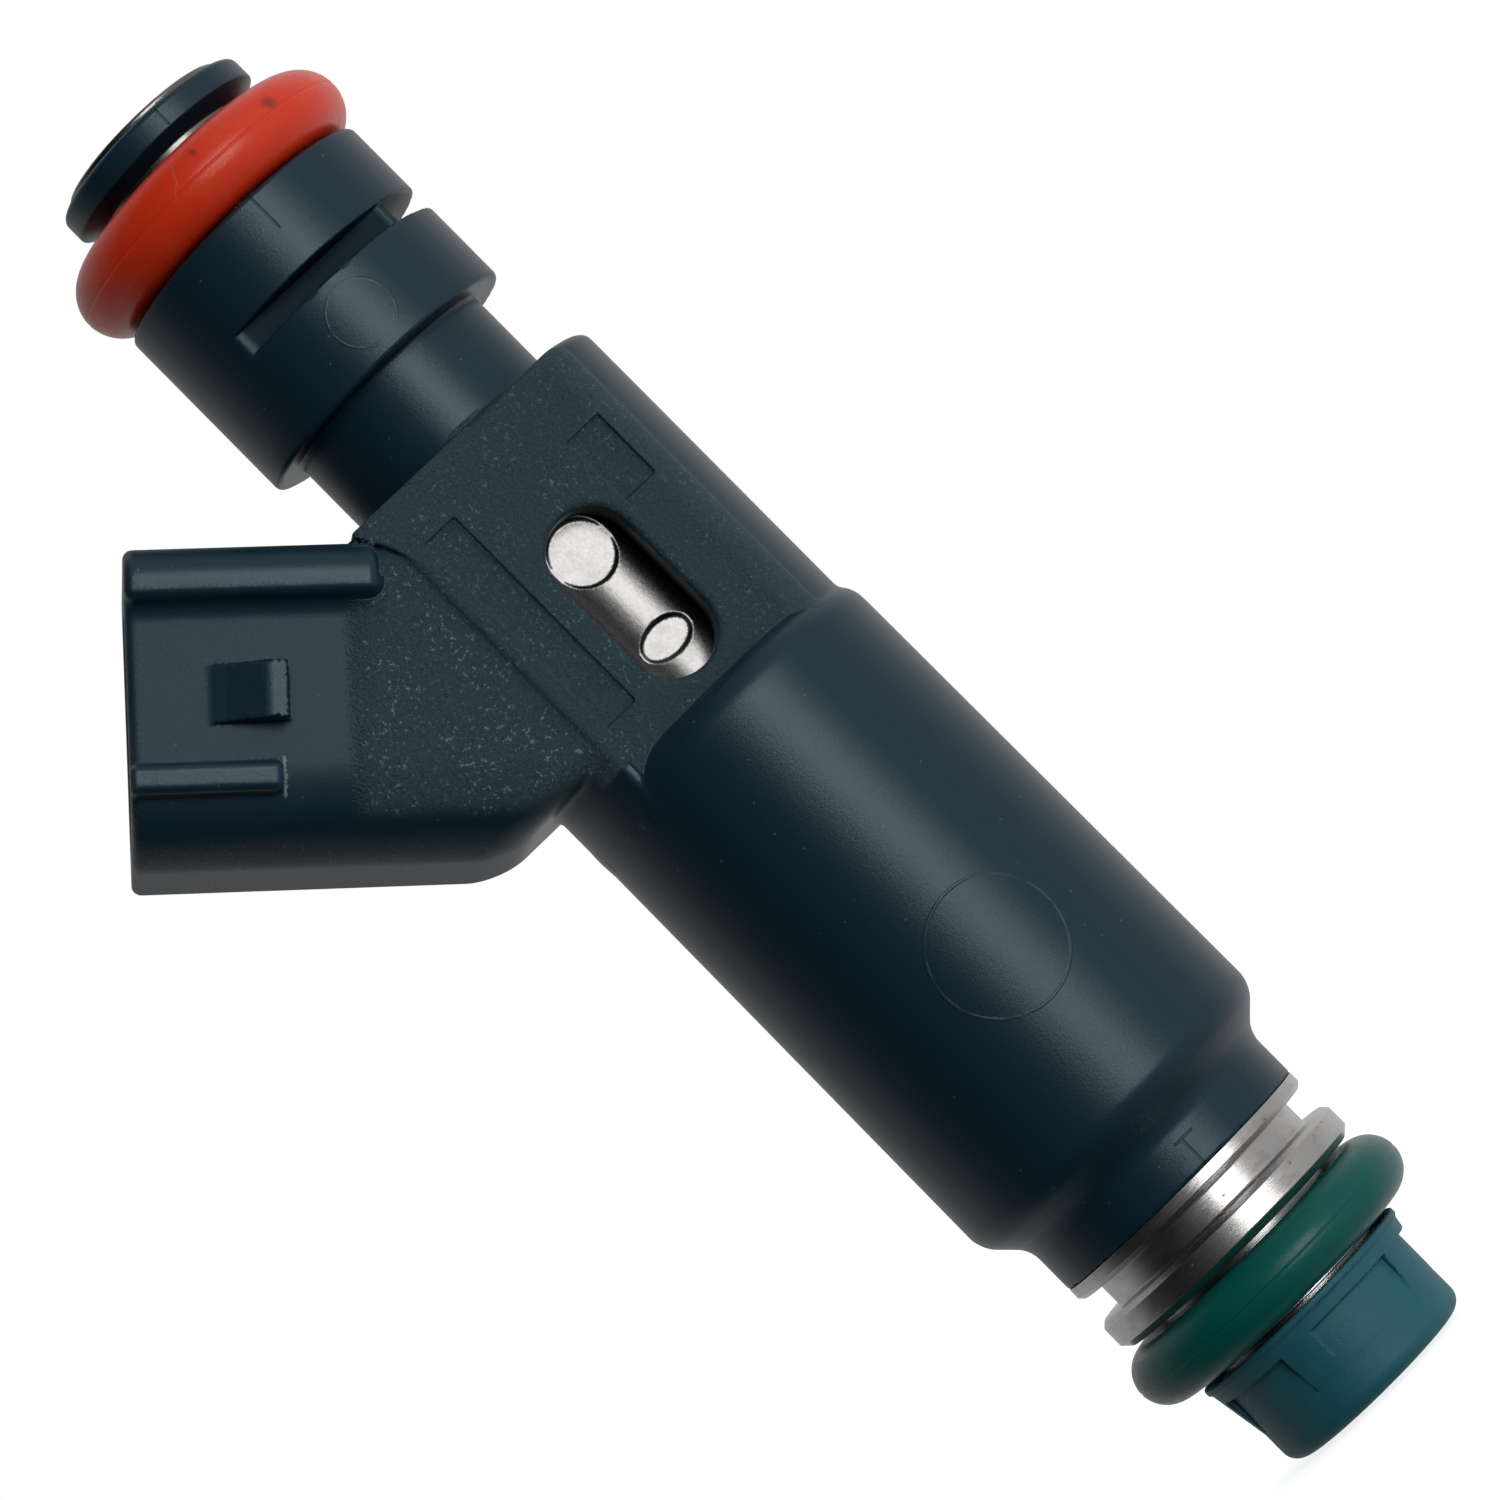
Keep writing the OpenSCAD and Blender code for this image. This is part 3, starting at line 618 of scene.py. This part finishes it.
def tube_field(x, y, z):
    """Inlet tube with its lip, two staking marks and stepped bore."""
    rho = np.hypot(x, y)
    top = TUBE_HIGH[2]
    d = np.maximum(rho - np.where(z > TUBE_STEP_Z, GLAND_R, TUBE_R), z - LIP_Z - 0.1)
    d = np.where(z < POLE_Z, np.maximum(d, rho - POLE_R), d)
    lip = keep(rho - LIP_R, np.abs(z - (LIP_Z + top) / 2) - (top - LIP_Z) / 2, 0.14)
    d = join(d, lip, 0.03)
    for at, half_w, half_h in STAKES:
        floor = y + TUBE_R - STAKE_DEPTH
        wall = ((np.hypot(x / half_w, (z - at) / half_h) - 1) * half_h + 0.3 * floor) * 0.95
        d = cut(d, keep(wall, floor, 0.08), 0.08)
    d = cut(d, np.maximum(rho - MOUTH_R, top - MOUTH_DEPTH - z), 0.12)
    seat = (rho - CORE_BORE_R - (z - FILTER_SEAT_Z)) * math.sqrt(0.5)
    d = cut(d, np.maximum(np.maximum(rho - FILTER_BORE_R, seat), FILTER_SEAT_Z - z), 0.02)
    d = cut(d, rho - CORE_BORE_R, 0.02)
    return np.maximum(d, TUBE_LOW[2] - z)


CAP_R = 4.94
CAP_RIM_R = 5.5
CAP_BORE_R = 4.2
CAP_FLOOR_Z = 1.2
OUTLET_R = 2.6
POCKET_Z = (1.7, 3.95)
POCKETS = 5
POCKET_TURN = math.radians(-80.5)
POCKET_HALF = math.radians(26.5)
FLARE_Z = (1.8, 4.6)
RIM_Z = 4.5
RIM_OUT = 0.1
RECESS = 0.3


def cap_field(x, y, z):
    """Flared cap with a rim, a recess round its mouth and a ring of shallow pockets."""
    rho = np.hypot(x, y)
    top = CAP_HIGH[2]
    share = np.clip((z - FLARE_Z[0]) / (FLARE_Z[1] - FLARE_Z[0]), 0, 1)
    flare = CAP_R + (CAP_RIM_R - RIM_OUT - CAP_R) * share
    rim = np.clip((z - RIM_Z) / RIM_OUT, 0, 1) * RIM_OUT
    d = keep(rho - flare - rim, z - top, 0.1)
    d = keep(d, CAP_LOW[2] - z, 0.75)
    d = cut(d, np.maximum(rho - CAP_BORE_R, CAP_FLOOR_Z - z), 0.06)
    d = cut(d, rho - OUTLET_R, 0.12)
    d = cut(d, np.maximum(rho - CAP_R - RECESS, top - RECESS - z), 0.05)
    pitch = 2 * math.pi / POCKETS
    turn = np.mod(np.arctan2(y, x) - POCKET_TURN + pitch / 2, pitch) - pitch / 2
    sides = (np.abs(turn) - POCKET_HALF) * rho
    pocket = np.maximum(np.maximum(sides, slab(z, *POCKET_Z)), CAP_R + 0.01 - rho)
    return cut(d, pocket, 0.05)


HOLDER_OUTLINE = [
    (3.0, 1.2, 0.05), (4.2, 1.2, 0.15), (4.2, 5.0, 0.03), (4.55, 5.0, 0.05), (4.55, 8.35, 0.12),
    (6.25, 8.35, 0.06), (6.63, 8.7, 0.08), (6.63, 9.65, 0.08), (6.38, 9.9, 0.06), (5.45, 9.9, 0.18),
    (5.45, 11.15, 0.18), (6.3, 11.15, 0.06), (6.5, 11.35, 0.08), (6.5, 11.86, 0.03),
    (5.6, 11.86, 0.02), (5.6, 17.2, 0.05), (4.0, 17.2, 0.02), (4.0, 18.5, 0.02), (3.5, 18.5, 0.02),
    (3.5, 14.0, 0.05), (2.4, 14.0, 0.05), (2.4, 6.0, 0.02), (3.0, 6.0, 0.02)]

RETAINER_OUTLINE = [
    (GLAND_R, 72.3, 0.02), (3.9, 72.3, 0.02), (5.0, 72.73, 0.1), (5.0, LIP_Z, 0.3),
    (GLAND_R, LIP_Z, 0.02)]


# ---------------------------------------------------------------- materials of this object

def rough_areas(s, v):
    """Where the tool leaves the housing rough: its flats, the connector's lower flank and the slot."""
    deep = s.math("ABSOLUTE", s.y)
    shallow = s.step(deep, BLOCK_FLAT + 0.08, BLOCK_FLAT + 0.03)
    over_barrel = s.step(s.z, BARREL_TOP_Z, BARREL_TOP_Z + 0.3)
    block_side = s.mul(s.step(deep, 5.0, 5.2), s.step(s.x, -7.1, -6.9))
    block_side = s.mul(block_side, s.near(s.z, 47.2, 7.9, 0.2))
    on_shoulder = s.step(s.radius(), 7.65, 7.55)
    block_side = s.mul(block_side, s.math("MAXIMUM", over_barrel, on_shoulder))
    root_side = s.mul(s.mul(s.step(deep, 4.3, 5.0), s.step(s.x, -5.7, -5.9)), over_barrel)
    flats = s.mul(s.math("MAXIMUM", block_side, root_side), shallow)
    under = s.mul(s.mul(s.step(s.x, -7, -7.5), over_barrel), s.step(v, -5.4, -6.2))
    slot = s.near(s.z, (SLOT_LOW_Z + SLOT_HIGH_Z) / 2, 0.5, 0.1)
    return flats, under, s.mul(slot, s.step(s.radius(), 6.4, 6.1))


def paint_grain_and_sheen(s, t, eroded, under):
    """Fine light and dark grain with light specks painted as glints, thickest at the connector's root, and
    a painted sheen on the connector's lower flank, patchy and stronger towards the mouth.
    """
    s.tint(s.mul(eroded, 0.5), (0.018, 0.062, 0.09))
    fine = s.noise(7.5, 3, 0.7)
    s.tint(s.mul(s.step(fine, 0.5, 0.64), s.mul(eroded, 0.6)), (0.045, 0.09, 0.115))
    s.tint(s.mul(s.step(fine, 0.45, 0.36), s.mul(eroded, 0.7)), (0.003, 0.018, 0.03))
    clusters = s.add(s.step(s.noise(0.4, 2, 0.6), 0.42, 0.6), 0.25)
    root = s.add(s.mul(s.step(s.x, -5.5, -7), s.step(t, 15.5, 12)), 0.5)
    # Painted glints: light specks standing in for the grain catching the light, bunched at the connector's
    # root
    glint_specks = s.step(s.noise(5.5, 2, 0.7), 0.60, 0.67)
    s.tint(s.mul(s.mul(glint_specks, eroded), s.mul(clusters, root)), (0.20, 0.30, 0.34))
    # Painted reflection: the connector's lower flank is painted lighter grey in patches, stronger towards
    # the mouth, standing in for grazing light off the floor
    towards_mouth = s.add(s.mul(s.step(t, 12, 23), 0.8), 0.2)
    under_sheen = s.mul(s.step(fine, 0.5, 0.62), under)
    s.tint(s.mul(under_sheen, s.mul(towards_mouth, 0.45)), (0.09, 0.09, 0.088))
    s.tint(s.mul(s.mul(glint_specks, under), 0.5), (0.13, 0.14, 0.145))


def paint_damage(s, t, v, grain, eroded):
    """Dust, a short gouge in the block, the mouth's worn edge and a burr at the end of the rib."""
    dust = s.mul(s.step(s.cells(0.9), 0.06, 0.035), s.sub(1.0, eroded))
    s.tint(s.mul(dust, 0.5), (0.14, 0.17, 0.17))
    gouge = s.near(s.add(s.z, s.mul(s.x, 0.6)), 52.75, 0.01, 0.05)
    gouge = s.mul(s.mul(gouge, s.near(s.x, -3.5, 0.45, 0.1)), s.step(s.y, -5.4, -5.5))
    s.tint(s.mul(gouge, 0.85), (0.002, 0.006, 0.01))
    back = s.sub(CONN_REACH, t)
    worn = s.mul(s.step(back, 0.4, 0.15), s.step(s.noise(5, 3, 0.6), 0.35, 0.7))
    s.tint(s.mul(s.mul(worn, s.step(v, 0.5, -5.5)), 0.6), (0.12, 0.12, 0.115))
    burr = s.near(s.add(back, s.mul(grain, 0.35)), RIB_LONG + 0.2, 0.03, 0.06)
    burr = s.mul(burr, s.near(v, RIB_V, 0.75, 0.15))
    burr = s.mul(burr, s.step(s.y, -SHROUD_Y + 0.5, -SHROUD_Y + 0.2))
    s.tint(s.mul(burr, 0.9), (0.24, 0.33, 0.28))


def paint_mould_marks(s):
    """Faint rings of two ejector pins, and short knit lines where the plastic met, on the front."""
    front = s.step(s.y, 0, -1)
    large = s.near(s.radius(0.0, 24.2), 3.03, 0.02, 0.07)
    small = s.near(s.radius(0.0, 61.3), 1.5, 0.02, 0.06)
    pins = s.mul(s.add(s.mul(large, 0.8), s.mul(small, 0.5)), front)
    pins = s.mul(pins, s.step(s.noise(0.9, 2), 0.3, 0.6))
    s.tint(s.mul(pins, 0.3), (0.05, 0.085, 0.10))
    s.bump(pins, 0.02)
    top = s.mul(s.near(s.x, 0.09, 0.02, 0.04), s.near(s.z, 67.3, 0.9, 0.3))
    stop = s.mul(s.near(s.x, 0.15, 0.02, 0.04), s.step(s.z, 72.7, 72.9))
    low = s.mul(s.near(s.x, 0.0, 0.02, 0.04), s.step(s.z, 13.35, 13.25))
    low_bar = s.mul(s.near(s.x, 0.1, 0.45, 0.1), s.near(s.z, 13.3, 0.02, 0.04))
    knits = s.math("MAXIMUM", s.math("MAXIMUM", top, stop), s.math("MAXIMUM", low, low_bar))
    knits = s.mul(knits, front)
    s.tint(s.mul(knits, 0.8), (0.002, 0.006, 0.01))
    s.bump(s.sub(1.0, knits), 0.03)


def housing_plastic():
    """Glass-filled nylon, dark blue grey: polished by the tool on the barrel, collar and guides,
    spark-eroded to a fine grain with specks painted as glints on the block and the connector's root,
    with painted shade in the clip slot and a painted sheen on the connector's lower flank."""
    s = Shader("housing_plastic", (0.008, 0.031, 0.053), 0.36, specular=0.45)
    s.bsdf.inputs["Specular Tint"].default_value = (0.78, 0.97, 1, 1)
    s.tint(s.mul(s.step(s.noise(0.8, 3, 0.6), 0.35, 0.75), 0.35), (0.010, 0.035, 0.055))
    grain = s.noise(9, 2, 0.6)
    up = s.sub(s.z, CONN_ROOT_Z)
    t = s.add(s.mul(s.x, -math.sin(CONN_LEAN)), s.mul(up, math.cos(CONN_LEAN)))
    v = s.add(s.mul(s.x, math.cos(CONN_LEAN)), s.mul(up, math.sin(CONN_LEAN)))
    flats, under, slot = rough_areas(s, v)
    eroded = s.mul(flats, s.step(s.add(t, s.mul(grain, 1.5)), 16.3, 15.0))
    paint_grain_and_sheen(s, t, eroded, under)
    # Painted shade: the clip slot is darkened as if shaded by its walls
    s.tint(s.mul(slot, 0.6), (0.004, 0.012, 0.02))
    s.shine(s.add(s.sub(0.4, s.mul(slot, 0.4)), s.mul(eroded, 0.6)), 0.1, 1.0)
    paint_damage(s, t, v, grain, eroded)
    rough_parts = s.math("MAXIMUM", s.math("MAXIMUM", flats, under), slot)
    s.rough(s.add(s.mul(rough_parts, 0.5), s.mul(grain, 0.25)), 0.3, 0.6)
    s.bump(s.mul(s.noise(7, 4, 0.75), s.add(s.mul(eroded, 0.92), 0.08)), 0.13)
    paint_mould_marks(s)
    return s.material


def rubber(name, colour, worn, specular=0.45):
    """Shader of seal rubber, with blotches of its worn colour and dark scuffs."""
    s = Shader(name, colour, 0.42, specular=specular)
    blotch = s.noise(0.7, 3, 0.6)
    s.tint(s.mul(s.step(blotch, 0.5, 0.75), 0.4), worn)
    scuff = s.step(s.noise(1.3, 4, 0.7, s.stretch((1, 1, 3))), 0.62, 0.72)
    s.tint(s.mul(scuff, 0.25), tuple(c * 0.35 for c in colour))
    s.rough(s.noise(3, 3, 0.6), 0.14, 0.44)
    s.bump(s.noise(14, 2, 0.6), 0.01)
    return s


def upper_rubber():
    """Red rubber with a pale scratch, and dark scuffs where it was pushed into its port."""
    s = rubber("upper_seal_rubber", (0.94, 0.050, 0.010), (0.94, 0.085, 0.025))
    front = s.step(s.y, 0, -1)
    ragged = s.mul(s.sub(s.noise(3, 3, 0.7), 0.5), 0.6)
    off = s.add(s.sub(s.x, s.mul(s.sub(s.z, 70.5), 0.77)), ragged)
    scratch = s.mul(s.mul(s.near(off, -1.8, 0.01, 0.035), s.near(s.z, 70.5, 0.45, 0.25)), front)
    s.tint(s.mul(scratch, 0.7), (0.8, 0.25, 0.1))
    for x0, z0, wide in ((-0.4, 70.9, 0.3), (3.5, 70.4, 0.45)):
        spot = s.step(s.add(s.radius(x0, z0), ragged), wide, wide - 0.3)
        s.tint(s.mul(s.mul(spot, front), 0.55), (0.12, 0.02, 0.015))
    return s.material


def lower_rubber():
    return rubber("lower_seal_rubber", (0.001, 0.125, 0.110), (0.003, 0.14, 0.12), 0.28).material


def coil_rubber():
    return rubber("coil_seal_rubber", (0.012, 0.012, 0.013), (0.03, 0.03, 0.03)).material


def cap_plastic():
    s = Shader("cap_plastic", (0.018, 0.15, 0.19), 0.45, specular=0.4)
    s.tint(s.mul(s.step(s.noise(0.9, 3), 0.45, 0.7), 0.4), (0.028, 0.17, 0.21))
    s.rough(s.noise(4, 3, 0.6), 0.38, 0.6)
    s.bump(s.noise(12, 3, 0.6), 0.02)
    return s.material


def turned_steel(name, colour=(0.58, 0.57, 0.56), low=0.16, high=0.36):
    """Steel or brass with fine lathe marks round the Z axis, stains and a few dents, which carry painted
    shade.
    """
    s = Shader(name, colour, 0.2, metallic=1.0)
    lines = s.noise(1.0, 4, 0.7, s.stretch((0.15, 0.15, 22)))
    s.rough(lines, low, high)
    s.tint(s.mul(s.step(s.noise(0.9, 4, 0.7), 0.5, 0.7), 0.35), tuple(c * 0.72 for c in colour))
    s.bump(lines, 0.006)
    dents = s.step(s.cells(1.1, s.stretch((1, 1, 1.7))), 0.09, 0.05)
    # Painted shade: the dents are darkened in colour as well as bumped
    s.tint(s.mul(dents, 0.7), tuple(c * 0.2 for c in colour))
    s.bump(dents, 0.03)
    stain = s.step(s.noise(0.6, 4, 0.7, s.stretch((1, 1, 2.5))), 0.5, 0.66)
    s.tint(s.mul(stain, 0.35), (colour[0] * 0.5, colour[1] * 0.42, colour[2] * 0.4))
    return s.material


def plain_metal(name, colour, low, high):
    s = Shader(name, colour, 0.3, metallic=1.0)
    cloud = s.noise(6.0, 3, 0.6)
    s.rough(cloud, low, high)
    s.tint(s.mul(s.step(s.noise(1.1, 3), 0.45, 0.7), 0.4), tuple(c * 0.7 for c in colour))
    s.bump(cloud, 0.006)
    return s.material


def moulded_plastic(name, colour):
    s = Shader(name, colour, 0.45, specular=0.4)
    s.tint(s.mul(s.step(s.noise(0.8, 3), 0.4, 0.7), 0.3), tuple(c * 0.8 for c in colour))
    s.rough(s.noise(5, 3), 0.35, 0.6)
    s.bump(s.noise(10, 2), 0.01)
    return s.material


def woven_mesh():
    """Stainless filter gauze: crossed wires, with the gaps between them painted dark as shade."""
    s = Shader("mesh_steel", (0.5, 0.5, 0.49), 0.35, metallic=1.0)
    turn = s.math("ARCTAN2", s.y, s.x)
    across = s.math("SINE", s.mul(turn, 60))
    along = s.math("SINE", s.mul(s.z, 32))
    wires = s.math("MAXIMUM", across, along)
    # Painted shade: the gaps between the wires are painted near black
    s.tint(s.step(wires, 0.5, -0.2), (0.02, 0.02, 0.02))
    s.rough(s.noise(6, 2), 0.3, 0.45)
    s.bump(wires, 0.04)
    return s.material


def wound_copper():
    """Enamelled copper winding: close turns side by side, with painted shade in the creases between them.
    """
    s = Shader("enamelled_copper", (0.62, 0.27, 0.10), 0.3, metallic=0.8)
    wires = s.math("SINE", s.mul(s.z, 2 * math.pi / 0.22))
    # Painted shade: the creases between the turns are painted dark
    s.tint(s.mul(s.step(wires, -0.3, -0.9), 0.8), (0.08, 0.03, 0.015))
    s.rough(s.noise(3, 3), 0.25, 0.4)
    s.bump(wires, 0.05)
    return s.material


MATERIALS = {
    "housing_plastic": housing_plastic(),
    "cap_plastic": cap_plastic(),
    "upper_seal_rubber": upper_rubber(),
    "lower_seal_rubber": lower_rubber(),
    "coil_seal_rubber": coil_rubber(),
    "bright_steel": turned_steel("bright_steel"),
    "tube_steel": plain_metal("tube_steel", (0.235, 0.23, 0.225), 0.2, 0.36),
    "core_steel": turned_steel("core_steel", (0.42, 0.42, 0.43), 0.25, 0.4),
    "spring_steel": plain_metal("spring_steel", (0.5, 0.5, 0.5), 0.15, 0.25),
    "mesh_steel": woven_mesh(),
    "ball_steel": plain_metal("ball_steel", (0.7, 0.7, 0.7), 0.05, 0.12),
    "brass": turned_steel("brass", (0.75, 0.52, 0.2), 0.2, 0.35),
    "contact_plating": plain_metal("contact_plating", (0.72, 0.70, 0.65), 0.2, 0.35),
    "enamelled_copper": wound_copper(),
    "pale_plastic": moulded_plastic("pale_plastic", (0.65, 0.61, 0.5)),
}

for subpart in frame["record"]["subparts"]:
    node = frame["nodes"][subpart["node"]]
    node.data.materials.clear()
    node.data.materials.append(MATERIALS[subpart["material_slot"]])


# ---------------------------------------------------------------- pieces

def stand_in(piece, node):
    """Makes the piece stand for a CAD node of the injector's body."""
    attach(piece, BODY)
    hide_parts(node)


def make_housing():
    low, high = HOUSING_LOW - 0.3, HOUSING_HIGH + 0.3
    panel_x = [p[n] for p in PANELS for n in (0, 1)]
    panel_z = [p[n] for p in PANELS for n in (2, 3)]
    xs = grid_lines(low[0], high[0], 0.2, fine_near(*panel_x))
    front = fine_near(-BLOCK_FLAT, -5.2, half=0.25, step=0.06)
    ys = grid_lines(low[1], high[1], 0.3, [(-8.3, -4, 0.18), *front])
    rims = fine_near(SLOT_LOW_Z, SLOT_HIGH_Z, COLLAR_TOP_Z, *panel_z)
    zs = grid_lines(low[2], high[2], 0.2, [(17, 38.6, 0.8), *rims])
    piece = field_piece("housing_shell", housing_field, xs, ys, zs, MATERIALS["housing_plastic"],
                        HOUSING_TRIANGLES)
    stand_in(piece, "housing")


def make_tube():
    low, high = TUBE_LOW - 0.3, TUBE_HIGH + 0.3
    xs = grid_lines(low[0], high[0], 0.1)
    ys = grid_lines(low[1], high[1], 0.16, [(-4.3, -3, 0.08)])
    zs = grid_lines(low[2], high[2], 0.7, [(40.5, 50, 0.1), (71.8, 75, 0.12), (51, 55, 0.3)])
    piece = field_piece("inlet_tube_shell", tube_field, xs, ys, zs, MATERIALS["tube_steel"],
                        SMALL_TRIANGLES)
    stand_in(piece, "inlet_tube")


def make_cap():
    low, high = CAP_LOW - 0.25, CAP_HIGH + 0.25
    xs = grid_lines(low[0], high[0], 0.11)
    zs = grid_lines(low[2], high[2], 0.11, fine_near(*POCKET_Z, half=0.1, step=0.04))
    piece = field_piece("nozzle_cap_shell", cap_field, xs, xs, zs, MATERIALS["cap_plastic"],
                        SMALL_TRIANGLES)
    stand_in(piece, "nozzle_cap")


def make_turned_pieces():
    holder = lathe_piece("valve_holder_body", lathe_outline(HOLDER_OUTLINE), MATERIALS["bright_steel"])
    stand_in(holder, "valve_holder")
    retainer = lathe_piece("o_ring_stop", lathe_outline(RETAINER_OUTLINE), MATERIALS["housing_plastic"])
    stand_in(retainer, "o_ring_retainer")
    for node, name, slot in (("upper_o_ring", "upper_seal", "upper_seal_rubber"),
                             ("lower_o_ring", "lower_seal", "lower_seal_rubber")):
        low, high = box_mm(node)
        cord = (high[2] - low[2]) / 2
        outline = circle_outline(high[0] - cord, (low[2] + high[2]) / 2, cord, 0.035)
        stand_in(lathe_piece(name, outline, MATERIALS[slot]), node)


make_housing()
make_tube()
make_cap()
make_turned_pieces()


# ---------------------------------------------------------------- studio

AIM = Vector((-0.07 * MM, 0, 37.42 * MM))
VIEW_TURN = math.radians(11.2)
VIEW_TILT = math.radians(3.0)
VIEW_ROLL = math.radians(44.76)
CAMERA_FAR = 262.6 * MM
CAMERA_LENS = 149.4


def make_camera():
    """Level with the injector's lower part, looking slightly up and from the connector's side, and
    rolled so that the injector lies along the picture's diagonal."""
    front = Vector((-math.sin(VIEW_TURN), -math.cos(VIEW_TURN), 0))
    down = Vector((0, 0, -1))
    back = math.sin(VIEW_TILT) * down + math.cos(VIEW_TILT) * front
    along = math.cos(VIEW_TILT) * down - math.sin(VIEW_TILT) * front
    across = Vector((math.cos(VIEW_TURN), -math.sin(VIEW_TURN), 0))
    right = math.cos(VIEW_ROLL) * across + math.sin(VIEW_ROLL) * along
    up = math.sin(VIEW_ROLL) * across - math.cos(VIEW_ROLL) * along
    camera = bpy.data.objects.new("camera", bpy.data.cameras.new("camera"))
    camera.data.lens = CAMERA_LENS
    camera.data.sensor_width = 36
    camera.data.clip_start = 0.01
    pose = Matrix((right, up, back)).transposed().to_4x4()
    pose.translation = AIM + back * CAMERA_FAR
    camera.matrix_world = pose
    bpy.context.scene.collection.objects.link(camera)
    bpy.context.scene.camera = camera


def toward(angle, lift):
    """Direction at an angle round the Z axis from the camera's side towards +X, and a lift above the
    horizon, both in degrees."""
    a = VIEW_TURN - math.radians(angle)
    e = math.radians(lift)
    return Vector((-math.sin(a) * math.cos(e), -math.cos(a) * math.cos(e), math.sin(e)))


def make_light(name, direction, far, size, power):
    """Soft rectangular light, this far from the injector's middle. Size is its width and height."""
    data = bpy.data.lights.new(name, "AREA")
    data.shape = "RECTANGLE"
    data.size, data.size_y = size
    data.energy = power
    light = bpy.data.objects.new(name, data)
    light.matrix_world = direction.to_track_quat("Z", "Y").to_matrix().to_4x4()
    light.location = AIM + direction * far
    light.visible_camera = False
    bpy.context.scene.collection.objects.link(light)


# Brightness of the room by direction in degrees, round the Z axis and up from the horizon
ROOM = ((-180, 0.6), (-150, 0.35), (-118, 0.45), (-97, 0.16), (-80, 0.02), (-55, 0.012),
        (-38, 0.02), (-22, 0.035), (-7, 0.09), (10, 0.2), (44, 0.35), (56, 0.6), (72, 0.5),
        (92, 0.42), (118, 0.55), (150, 0.7))
ROOM_LIFT = ((-90, 0.3), (-60, 0.55), (-25, 1.05), (0, 1.0), (25, 1.1), (55, 1.1), (75, 0.6), (90, 0.3))


def grey_ramp(tree, position, stops, low, high):
    """Ramp from low to high, in degrees, with grey values at the stops."""
    ramp = tree.nodes.new("ShaderNodeValToRGB")
    for k, (angle, value) in enumerate(stops):
        stop = ramp.color_ramp.elements[k] if k < 2 else ramp.color_ramp.elements.new(1)
        stop.position = (angle - low) / (high - low)
        stop.color = (value, value, value, 1)
    ramp.color_ramp.interpolation = "B_SPLINE"
    tree.links.new(position, ramp.inputs["Fac"])
    return ramp.outputs["Color"]


def make_world():
    """White surroundings for the camera; for light, a grey room with one dark side."""
    world = bpy.data.worlds.new("studio")
    bpy.context.scene.world = world
    world.use_nodes = True
    tree = world.node_tree

    def worked_out(operation, a, b, c=0.0):
        node = tree.nodes.new("ShaderNodeMath")
        node.operation = operation
        for value, socket in zip((a, b, c), node.inputs):
            if isinstance(value, float):
                socket.default_value = value
            else:
                tree.links.new(value, socket)
        return node.outputs[0]

    place = tree.nodes.new("ShaderNodeTexCoord")
    split = tree.nodes.new("ShaderNodeSeparateXYZ")
    tree.links.new(place.outputs["Generated"], split.inputs[0])
    turn = worked_out("ARCTAN2", split.outputs["X"], worked_out("MULTIPLY", split.outputs["Y"], -1.0))
    share = worked_out("MULTIPLY_ADD", turn, 0.5 / math.pi, 0.5 + VIEW_TURN / (2 * math.pi))
    lift = worked_out("MULTIPLY_ADD", worked_out("ARCSINE", split.outputs["Z"], 0.0), 1 / math.pi, 0.5)
    around = grey_ramp(tree, worked_out("FRACT", share, 0.0), (*ROOM, (180, ROOM[0][1])), -180, 180)
    upward = grey_ramp(tree, lift, ROOM_LIFT, -90, 90)
    seen = tree.nodes.new("ShaderNodeLightPath")
    both = tree.nodes.new("ShaderNodeMix")
    both.data_type = "RGBA"
    both.blend_type = "MULTIPLY"
    both.inputs["Factor"].default_value = 1
    tree.links.new(around, both.inputs["A"])
    tree.links.new(upward, both.inputs["B"])
    mix = tree.nodes.new("ShaderNodeMix")
    mix.data_type = "RGBA"
    tree.links.new(seen.outputs["Is Camera Ray"], mix.inputs["Factor"])
    tree.links.new(both.outputs["Result"], mix.inputs["A"])
    mix.inputs["B"].default_value = (1, 1, 1, 1)
    tree.links.new(mix.outputs["Result"], tree.nodes["Background"].inputs["Color"])


def make_floor():
    size = 3.0
    floor = mesh_object("floor", [(-size, -size, 0), (size, -size, 0), (size, size, 0), (-size, size, 0)],
                        [(0, 1, 2, 3)], Shader("floor_paper", (0.9, 0.9, 0.9), 0.9, specular=0.0).material)
    floor.location.z = -0.2 * MM
    paper = floor.data.materials[0].node_tree.nodes["Principled BSDF"]
    paper.inputs["Emission Color"].default_value = (1, 1, 1, 1)
    paper.inputs["Emission Strength"].default_value = 0.8
    floor.visible_glossy = False
    floor.visible_diffuse = False


make_camera()
make_world()
make_light("softbox", toward(26.5, 4), 0.6, (0.31, 0.42), 1.7)
make_floor()
bpy.context.scene.view_settings.view_transform = "Standard"
